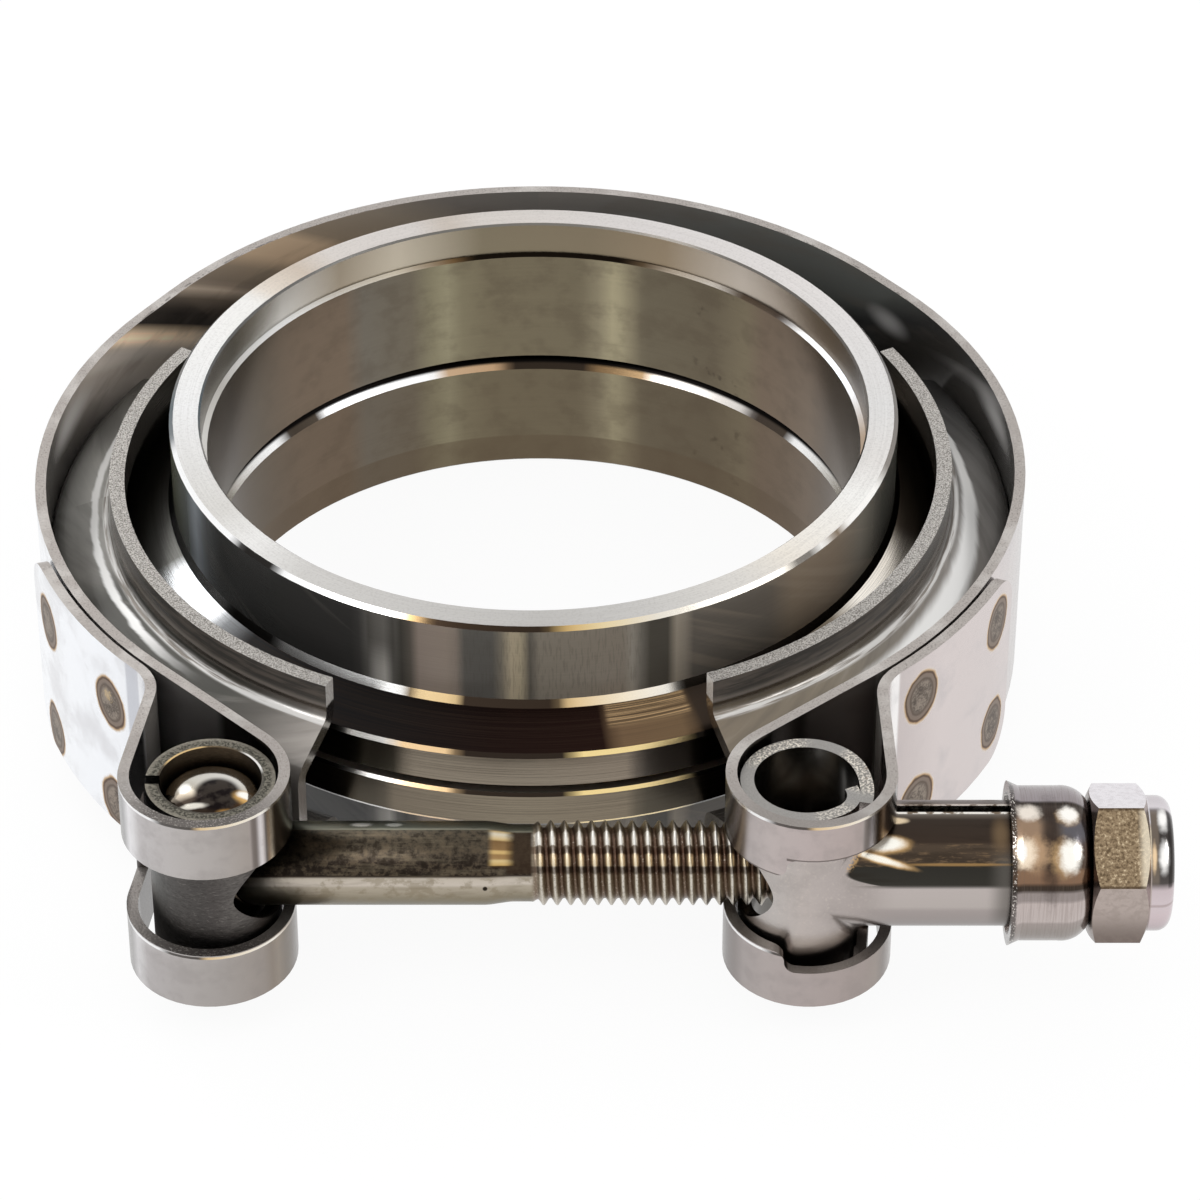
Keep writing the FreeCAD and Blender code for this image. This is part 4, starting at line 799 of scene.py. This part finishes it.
def bolt_material():
    g = Graph("bolt_steel")
    y, z = g.y - BOLT_Y, g.z
    r = g.radius(y, z)
    speck = g.noise(1.3, 6.0, rough=0.7)
    fine = g.noise(5.0, 4.0)
    dash = g.noise(1.0, 4.0, g.join(g.x * 0.3, y * 2.0, z * 2.0))
    turn = g.angle(-y, z) / 360.0 + 0.5
    # The shank's colour round its axis is painted reflection: a dark mottled upper band between light lines,
    # a light lower side and a lighter top near the head.
    shank = g.ramp(turn, [
        (0.00, 112, 108, 96), (0.30, 96, 92, 80), (0.40, 108, 101, 85), (0.455, 138, 129, 110),
        (0.485, 162, 152, 135), (0.512, 172, 162, 146), (0.522, 198, 188, 176), (0.550, 190, 180, 166),
        (0.557, 60, 50, 42), (0.562, 42, 36, 31), (0.607, 46, 39, 34), (0.62, 60, 53, 46),
        (0.68, 72, 65, 55), (0.735, 70, 64, 55), (0.752, 86, 81, 70), (0.757, 150, 148, 132),
        (0.766, 112, 114, 102), (0.85, 108, 110, 98), (1.00, 112, 108, 96),
    ])
    upper = g.band(turn, 0.565, 0.750, 0.006)
    shank = g.mix(g.step(speck, 0.46, 0.62) * 0.55 * upper, shank, (98, 86, 70))
    shank = g.mix(g.step(speck, 0.50, 0.38) * 0.65 * upper, shank, (34, 28, 22))
    shank = g.mix(g.step(dash, 0.50, 0.66) * 0.25, shank, (118, 108, 90))
    stain = g.noise(0.8, 5.0, g.join(g.x * 0.8, y, z), rough=0.65, shift=12.0)
    shank = g.mix(g.step(stain, 0.50, 0.62) * 0.5 * g.step(turn, 0.556, 0.548), shank, (128, 116, 94))
    shank = g.mix(g.step(g.x, -16.4, -17.6) * g.step(turn, 0.762, 0.772) * 0.5, shank, (164, 164, 148))
    ripple = (fine - 0.5) * 0.6
    # Two painted white glints on the shank.
    shank = g.blobs(shank, g.x, turn, ripple, [
        ((250, 250, 244), (-15.4, 0.792), (0.9, 0.016), 0.4, 0.9),
        ((244, 244, 236), (-12.4, 0.790), (0.7, 0.014), 0.4, 0.9),
    ])
    shank = g.blob(shank, (40, 34, 28), g.x, turn, (-4.0, 0.506), (0.22, 0.010), 0.3)

    # Painted reflections on the shank's end: gold rows with a pale one on top, over a darker strip next to
    # the thread.
    rows = g.ramp(turn, [
        (0.590, 58, 44, 30), (0.598, 70, 52, 34), (0.602, 226, 188, 118), (0.620, 246, 218, 158),
        (0.627, 176, 140, 92), (0.643, 170, 134, 86), (0.648, 232, 196, 130), (0.657, 232, 196, 130),
        (0.664, 150, 116, 74), (0.700, 138, 106, 68), (0.708, 236, 204, 144), (0.735, 250, 240, 216),
        (0.750, 232, 204, 150), (0.758, 90, 72, 50),
    ])
    tatter = (g.noise(1.8, 4.0, shift=1.0) - 0.5) * 1.6
    lit = g.step(g.x, -3.9, -3.1) * g.step(g.x + tatter * 0.3, -1.2, -2.4)
    lit = lit * g.band(turn, 0.600, 0.750, 0.020) * 0.7
    shank = g.mix(g.band(g.x, -1.9, 0.2, 0.3) * g.band(turn, 0.57, 0.745, 0.01) * 0.8, shank, (56, 44, 34))
    shank = g.mix(lit, shank, rows)

    # Thread: painted shade darkens the red-brown roots and painted highlight lightens the crests over
    # grey-tan flanks, with painted bright and dark reflection rows on the upper side.
    groove = g.ramp((r - 3.2) / 0.75, [
        (0.0, 96, 76, 62), (0.30, 128, 112, 96), (0.62, 158, 148, 131), (0.90, 176, 167, 152),
        (1.0, 226, 221, 212),
    ])
    groove = g.mix(g.step(turn, 0.548, 0.564) * g.step(r, 3.50, 3.30) * 0.6, groove, (74, 48, 37))
    groove = g.mix(g.step(fine, 0.50, 0.64) * 0.45, groove, (116, 104, 90))
    groove = g.mix(g.step(fine, 0.44, 0.34) * 0.35, groove, (206, 198, 184))
    crest = g.step(r, 3.45, 3.72)
    groove = g.mix(g.band(turn, 0.684, 0.744, 0.006) * crest * 0.85, groove, (240, 237, 230))
    groove = g.mix(g.band(turn, 0.602, 0.644, 0.008) * crest * 0.8, groove, (222, 205, 174))
    groove = g.mix(g.band(turn, 0.652, 0.675, 0.008) * 0.6, groove, (70, 48, 38))
    groove = g.mix(g.band(turn, 0.573, 0.592, 0.009) * 0.65, groove, (62, 46, 38))
    colour = g.mix(g.step(g.x, 0.1, 0.6), shank, groove)

    # Polished head, painted as a reflection: a pale band at the back, a dark middle and bright glints round
    # it, with painted shade on its lower rim and its sides.
    hx, hy = g.x - HEAD_X, y
    near = g.radius(hx, hy)
    px, py = hx - 0.7, hy + 0.95
    inner = g.radius(px, py)
    band = g.around(g.angle(px, py), [
        (-180, 150, 140, 126), (-165, 52, 44, 38), (-60, 50, 38, 28), (-30, 76, 54, 32), (-5, 118, 96, 70),
        (14, 196, 188, 176), (40, 212, 209, 202), (90, 212, 208, 201), (140, 204, 200, 190),
        (165, 184, 176, 162),
    ])
    core = g.mix(g.step(g.noise(0.8, 3.0), 0.4, 0.6), (26, 21, 21), (58, 52, 47))
    dome = g.mix(g.step(inner, 1.7, 2.5), core, band)
    soft_edge = (g.noise(1.2, 3.0, shift=4.0) - 0.5) * 0.5
    dome = g.blobs(dome, px, py, soft_edge, [
        ((220, 176, 108), (2.6, -0.1), (1.1, 0.7), 0.5, 0.9),
        ((206, 156, 88), (1.3, -2.3), (1.1, 0.45), 0.5, 0.9),
        ((255, 253, 246), (-3.1, 0.9), (0.5, 0.62), 0.5, 1.0),
        ((255, 253, 246), (2.6, 0.15), (0.85, 0.42), 0.4, 1.0),
        ((240, 234, 222), (-2.1, -1.5), (1.1, 0.30), 0.5, 0.9),
    ])
    dome = g.mix(g.step(near, 4.05, 4.3) * g.step(hy, -0.6, -1.8) * 0.6, dome, (66, 58, 50))
    side = g.mix(g.step(fine, 0.4, 0.7), (44, 38, 32), (84, 74, 62))
    dome = g.mix(g.step(g.absolute(g.nz), 0.3, 0.12), dome, side)
    head = g.step(g.x, -24.5, -24.7) * g.step(near, 4.55, 4.45)
    colour = g.mix(head, colour, dome)
    rough = head * -0.21 + 0.33
    return g.finish(colour, rough, (speck * 0.7 + fine * 0.3) * (1.0 - head), 0.03)


def ferrule_material():
    g = Graph("ferrule_steel")
    y, z = g.y - BOLT_Y, g.z
    turn = g.angle(-y, z) / 360.0 + 0.5
    fine = g.noise(5.0, 3.0)
    lines = g.noise(2.2, 3.0, g.join(g.x * 3.0, turn * 4.0, 0.0))
    # Bands round the ferrule are painted reflections, with painted glints and dark reflections laid on as
    # soft ellipses.
    bands = g.ramp(turn, [
        (0.00, 130, 124, 118), (0.38, 122, 114, 109), (0.44, 150, 142, 137), (0.470, 164, 154, 150),
        (0.476, 192, 181, 177), (0.524, 190, 178, 174), (0.530, 152, 142, 139), (0.548, 150, 140, 137),
        (0.553, 60, 52, 46), (0.564, 64, 53, 45), (0.570, 132, 103, 82), (0.593, 136, 107, 84),
        (0.602, 84, 68, 58), (0.660, 80, 66, 58), (0.670, 92, 82, 74), (0.700, 88, 80, 74),
        (0.710, 74, 66, 61), (0.738, 74, 67, 63), (0.746, 52, 46, 42), (0.752, 60, 54, 52),
        (0.757, 152, 144, 147), (0.80, 156, 148, 150), (1.00, 130, 124, 118),
    ])
    bands = g.mix(g.step(lines, 0.44, 0.62) * 0.22, bands, (110, 98, 88))
    ripple = (g.noise(1.3, 3.0) - 0.5) * 0.8 + (fine - 0.5) * 0.25
    bands = g.blobs(bands, g.x, turn, ripple, [
        ((164, 136, 112), (45.6, 0.684), (1.5, 0.030), 0.5, 0.8),
        ((98, 97, 104), (49.8, 0.684), (1.3, 0.030), 0.5, 0.8),
        ((56, 46, 41), (47.5, 0.650), (0.8, 0.10), 0.6, 0.8),
        ((186, 154, 122), (45.9, 0.631), (1.4, 0.034), 0.5, 0.9),
        ((246, 228, 204), (45.2, 0.631), (0.9, 0.030), 0.5, 1.0),
        ((255, 252, 246), (44.95, 0.633), (0.35, 0.018), 0.4, 1.0),
        ((196, 162, 118), (48.7, 0.622), (1.1, 0.034), 0.5, 0.8),
        ((255, 252, 244), (49.25, 0.624), (0.95, 0.032), 0.45, 1.0),
        ((240, 230, 218), (45.6, 0.722), (1.0, 0.019), 0.5, 0.95),
        ((196, 162, 118), (49.2, 0.712), (0.95, 0.019), 0.5, 0.8),
        ((255, 252, 246), (49.25, 0.717), (0.85, 0.020), 0.45, 1.0),
    ])

    # The rim lies in shade, and so does the end next to the nut
    rim = g.mix(g.step(fine, 0.56, 0.62), (52, 47, 44), (228, 222, 214))
    bands = g.mix(g.step(g.x, 44.55, 44.3) * 0.75, bands, rim)
    bands = g.mix(g.step(g.x, 51.2, 51.4) * 0.8, bands, (34, 30, 28))
    return g.finish(bands, 0.20, lines, 0.010)


def nut_material():
    g = Graph("nut_steel")
    y, z = g.y - BOLT_Y, g.z
    grain = g.noise(1.6, 5.0)
    fine = g.noise(5.0, 3.0)

    # Three faces can be seen, told apart by their normals, each painted with its own light: a lilac painted
    # reflection on top, a gold painted reflection on the front with a painted highlight and dark edge lines,
    # and a lower face lighter towards its top; the chamfer gets painted shade and a painted highlight line.
    toward = g.ny * -1.0
    top = g.clamp(g.step(g.nz, 0.95, 0.98) + g.step(g.nz, 0.80, 0.90) * g.step(toward, 0.1, 0.0))
    front = g.step(g.nz, 0.55, 0.65) * g.step(toward, 0.25, 0.4)
    across = y * 0.786 + z * 0.618
    low = g.mix(g.step(z, -4.5, 0.5), (120, 108, 102), (178, 165, 158))
    low = g.mix(g.step(grain, 0.44, 0.62) * 0.3, low, (140, 128, 120))
    gold_reflection = g.ramp(g.noise(3.4, 4.0, rough=0.65, shift=4.0), [
        (0.36, 98, 82, 62), (0.48, 140, 120, 95), (0.58, 160, 140, 112), (0.70, 222, 203, 172),
    ])
    gold_reflection = g.mix(g.step(g.x, 55.4, 56.2) * 0.6, gold_reflection, (252, 240, 216))
    gold_reflection = g.mix(g.step(g.absolute(across), 3.42, 3.62) * 0.75, gold_reflection, (66, 50, 36))
    lilac_reflection = g.mix(g.step(across, -1.0, 3.4), (186, 180, 184), (228, 224, 228))
    lilac_reflection = g.mix(g.step(grain, 0.44, 0.62) * 0.2, lilac_reflection, (160, 152, 154))
    colour = g.mix(top, low, lilac_reflection)
    colour = g.mix(front, colour, gold_reflection)
    chamfer = g.step(g.nx, -0.2, -0.3) * g.step(z, -3.5, 0.5)
    colour = g.mix(chamfer * 0.6, colour, (74, 66, 60))
    colour = g.mix(g.band(g.nx, -0.26, -0.12, 0.05) * 0.8, colour, (250, 240, 220))

    # Collar: painted reflection bands round it, with painted glints, a brown groove line and a dark painted
    # reflection on the rounded end.
    turn = g.angle(-y, z) / 360.0 + 0.5
    bands = g.ramp(turn, [
        (0.00, 140, 132, 134), (0.38, 150, 140, 142), (0.44, 196, 181, 184), (0.470, 206, 191, 194),
        (0.499, 208, 195, 198), (0.502, 120, 96, 84), (0.505, 208, 195, 198), (0.545, 200, 186, 189),
        (0.562, 84, 79, 77), (0.590, 72, 68, 66), (0.672, 64, 60, 58), (0.735, 76, 72, 71),
        (0.752, 120, 114, 116), (0.764, 216, 210, 214), (0.84, 186, 178, 182), (1.00, 140, 132, 134),
    ])
    ripple = (g.noise(1.3, 3.0) - 0.5) * 0.8
    bands = g.mix(g.band(g.x, 56.9, 57.3, 0.3) * g.band(turn, 0.57, 0.74, 0.02) * 0.5, bands, (140, 126, 112))
    bands = g.blobs(bands, g.x, turn, ripple, [
        ((255, 253, 250), (57.9, 0.722), (0.42, 0.030), 0.6, 1.0),
        ((255, 253, 250), (57.9, 0.624), (0.42, 0.034), 0.6, 1.0),
        ((250, 218, 176), (57.0, 0.624), (0.20, 0.030), 0.6, 0.9),
    ])
    bands = g.mix(g.band(g.x, 58.35, 58.6, 0.12) * g.band(turn, 0.555, 0.75, 0.01) * 0.6, bands, (40, 37, 36))
    collar = g.step(g.x, 56.68, 56.85)
    colour = g.mix(collar, colour, bands)
    rough = collar * -0.1 + 0.26
    return g.finish(colour, rough, grain * 0.5 + fine * 0.5, 0.015)


def insert_material():
    g = Graph("nylon_ring")
    grain = g.noise(2.0, 3.0)
    colour = g.mix(grain, (0.62, 0.62, 0.60, 1.0), (0.74, 0.74, 0.71, 1.0))
    return g.finish(colour, 0.45, grain, 0.02, metallic=0.0)


dress(["upper_flange", "lower_flange"], flange_material())
dress(["strap"], strap_material())
dress(["left_retainer"], retainer_material("left_retainer_strip", LEFT_CENTRE, LEFT_FLANK, left_shine))
dress(["right_retainer"], retainer_material("right_retainer_strip", RIGHT_CENTRE, RIGHT_FLANK, right_shine))
dress(["back_retainer"], retainer_material("back_retainer_strip", BACK_CENTRE, BACK_FLANK, no_shine))
dress(["left_trunnion"], left_trunnion_material())
dress(["right_trunnion"], right_trunnion_material())
dress(["ferrule_cap"], ferrule_material())
dress(["lock_nut"], nut_material())
dress(["nut_insert"], insert_material())


# Bolt with a real thread

PITCH = 1.25
THREAD_START = 0.2
BOLT_END = 58.6
SHANK_RADIUS = 3.88
RELIEF_RADIUS = 3.57
CREST_RADIUS = 3.93
ROOT_RADIUS = 3.25
THREAD_PHASE = 0.27
THREAD_RUN_IN = 0.9
RINGS_PER_PITCH = 10
RING_POINTS = 72
HEAD_RADIUS = 4.4
HEAD_HALF = 9.2
HEAD_CROWN = 1.6
HEAD_POINTS = 64


def lathe(mesh, rings):
    """Joins rings of points, each a list of equal length, into a skin."""
    rows = [[mesh.verts.new(point) for point in ring] for ring in rings]
    count = len(rows[0])
    for first, second in zip(rows, rows[1:]):
        for i in range(count):
            j = (i + 1) % count
            mesh.faces.new((first[i], first[j], second[j], second[i]))
    mesh.faces.new(list(reversed(rows[0])))
    mesh.faces.new(rows[-1])


def bolt_ring(x, radius_of):
    """Points round the bolt line, by a radius for each turn from 0 to 1."""
    ring = []
    for i in range(RING_POINTS):
        turn = i / RING_POINTS
        a = 2 * math.pi * turn
        radius = radius_of(turn)
        ring.append((x * MM, (BOLT_Y + radius * math.cos(a)) * MM, radius * math.sin(a) * MM))
    return ring


def thread_height(phase):
    """Share of the thread's depth over one pitch: root, flank, crest, flank."""
    phase = phase % 1.0
    stops = [(0.0, 0.0), (0.10, 0.02), (0.43, 0.97), (0.50, 1.0), (0.57, 0.97), (0.90, 0.02), (1.0, 0.0)]
    for (a, low), (b, high) in zip(stops, stops[1:]):
        if phase <= b:
            return low + (high - low) * (phase - a) / (b - a)
    return 0.0


def build_bolt():
    mesh = bmesh.new()
    rings = []
    for x, radius in ((HEAD_X, SHANK_RADIUS), (-4.1, SHANK_RADIUS), (-3.6, SHANK_RADIUS - 0.03),
                      (-1.9, RELIEF_RADIUS + 0.03), (-1.5, RELIEF_RADIUS), (-0.8, RELIEF_RADIUS)):
        rings.append(bolt_ring(x, lambda turn, radius=radius: radius))
    steps = int((BOLT_END - THREAD_START) / PITCH * RINGS_PER_PITCH)
    for k in range(steps + 1):
        base = THREAD_START + k * PITCH / RINGS_PER_PITCH

        def radius_of(turn, base=base):
            phase = (base - THREAD_START + THREAD_PHASE) / PITCH - turn
            radius = ROOT_RADIUS + (CREST_RADIUS - ROOT_RADIUS) * thread_height(phase)
            fade = min(1.0, max(0.0, (base - THREAD_START) / THREAD_RUN_IN))
            radius = RELIEF_RADIUS + (radius - RELIEF_RADIUS) * fade
            return min(radius, ROOT_RADIUS - 0.1 + max(0.0, BOLT_END - base))

        rings.append(bolt_ring(min(base, BOLT_END), radius_of))
    lathe(mesh, rings)

    # Upright head with domed ends
    profile = []
    for k in range(13):
        a = math.pi / 2 * (1 - k / 12)
        profile.append((HEAD_RADIUS * math.cos(a), HEAD_HALF - HEAD_CROWN + HEAD_CROWN * math.sin(a)))
    profile += [(r, -z) for r, z in reversed(profile)]
    head = []
    for r, z in profile:
        r = max(r, 0.02)
        turns = [2 * math.pi * i / HEAD_POINTS for i in range(HEAD_POINTS)]
        head.append([((HEAD_X + r * math.cos(a)) * MM, (BOLT_Y + r * math.sin(a)) * MM, z * MM)
                     for a in turns])
    lathe(mesh, head)
    bmesh.ops.recalc_face_normals(mesh, faces=mesh.faces)
    data = bpy.data.meshes.new("t_bolt_threaded")
    mesh.to_mesh(data)
    mesh.free()
    for polygon in data.polygons:
        polygon.use_smooth = True
    piece = bpy.data.objects.new("t_bolt_threaded", data)
    bpy.context.scene.collection.objects.link(piece)
    data.materials.append(bolt_material())
    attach(piece, "clamp")
    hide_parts("t_bolt")


build_bolt()


# Floor, light and camera

FLOOR_REACH = 3.0
FLOOR_GLOW = 0.93
WHITE = (1, 1, 1, 1)
PHOTO_PIXELS = 1200
FOCAL_PIXELS = 5081.5
SENSOR = 36.0
CAMERA_PLACE = (0.00653, -0.40905, 0.30352)
CAMERA_PITCH = 37.36


def seen_directly(tree, kinds):
    """1 for the named kinds of ray, 0 for the others."""
    path = tree.nodes.new("ShaderNodeLightPath")
    share = path.outputs[kinds[0]]
    for kind in kinds[1:]:
        node = tree.nodes.new("ShaderNodeMath")
        node.operation = "MAXIMUM"
        tree.links.new(share, node.inputs[0])
        tree.links.new(path.outputs[kind], node.inputs[1])
        share = node.outputs[0]
    return share


def blend(tree, share, first, second, target):
    """Wires a mix of two shaders to an output."""
    node = tree.nodes.new("ShaderNodeMixShader")
    for value, socket in zip((share, first.outputs[0], second.outputs[0]), node.inputs):
        tree.links.new(value, socket)
    tree.links.new(node.outputs[0], tree.nodes.new(target).inputs[0])


def stage():
    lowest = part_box("lower_flange")[0].z
    data = bpy.data.meshes.new("floor")
    corners = [(-FLOOR_REACH, -FLOOR_REACH), (FLOOR_REACH, -FLOOR_REACH),
               (FLOOR_REACH, FLOOR_REACH), (-FLOOR_REACH, FLOOR_REACH)]
    data.from_pydata([(x, y, lowest) for x, y in corners], [], [(0, 1, 2, 3)])
    floor = bpy.data.objects.new("floor", data)
    bpy.context.scene.collection.objects.link(floor)
    material = bpy.data.materials.new("floor_white")
    material.use_nodes = True
    tree = material.node_tree
    tree.nodes.clear()
    diffuse = tree.nodes.new("ShaderNodeBsdfDiffuse")
    diffuse.inputs[0].default_value = (0.95, 0.95, 0.95, 1)
    glow = tree.nodes.new("ShaderNodeEmission")
    glow.inputs[0].default_value = WHITE
    glow.inputs[1].default_value = 1.0
    part = tree.nodes.new("ShaderNodeMath")
    part.operation = "MULTIPLY"
    part.inputs[1].default_value = FLOOR_GLOW
    tree.links.new(seen_directly(tree, ["Is Camera Ray", "Is Glossy Ray"]), part.inputs[0])
    blend(tree, part.outputs[0], diffuse, glow, "ShaderNodeOutputMaterial")
    data.materials.append(material)

    world = bpy.data.worlds.new("studio")
    bpy.context.scene.world = world
    world.use_nodes = True
    tree = world.node_tree
    tree.nodes.clear()
    skies = [tree.nodes.new("ShaderNodeBackground") for _ in range(2)]
    for sky in skies:
        sky.inputs[0].default_value = WHITE
        sky.inputs[1].default_value = 1.0
    share = seen_directly(tree, ["Is Camera Ray", "Is Glossy Ray", "Is Transmission Ray"])
    blend(tree, share, *skies, "ShaderNodeOutputWorld")

    for name, place, size, power in (
        ("key", (-0.45, -0.35, 0.55), 0.30, 1.0),
        ("fill", (0.55, -0.20, 0.40), 0.25, 0.6),
        ("back", (-0.35, 0.45, 0.60), 0.30, 0.5),
    ):
        data = bpy.data.lights.new(name, "AREA")
        data.shape = "SQUARE"
        data.size = size
        data.energy = power
        lamp = bpy.data.objects.new(name, data)
        bpy.context.scene.collection.objects.link(lamp)
        lamp.location = place
        lamp.rotation_euler = (-Vector(place)).to_track_quat("-Z", "Y").to_euler()


def camera():
    data = bpy.data.cameras.new("camera")
    data.sensor_width = SENSOR
    data.sensor_height = SENSOR
    data.sensor_fit = "HORIZONTAL"
    data.lens = FOCAL_PIXELS / PHOTO_PIXELS * SENSOR
    data.clip_start = 0.01
    data.clip_end = 20.0
    view = bpy.data.objects.new("camera", data)
    bpy.context.scene.collection.objects.link(view)
    view.location = CAMERA_PLACE
    view.rotation_euler = (math.radians(90 - CAMERA_PITCH), 0.0, 0.0)
    bpy.context.scene.camera = view


stage()
camera()
bpy.context.scene.view_settings.view_transform = "Standard"
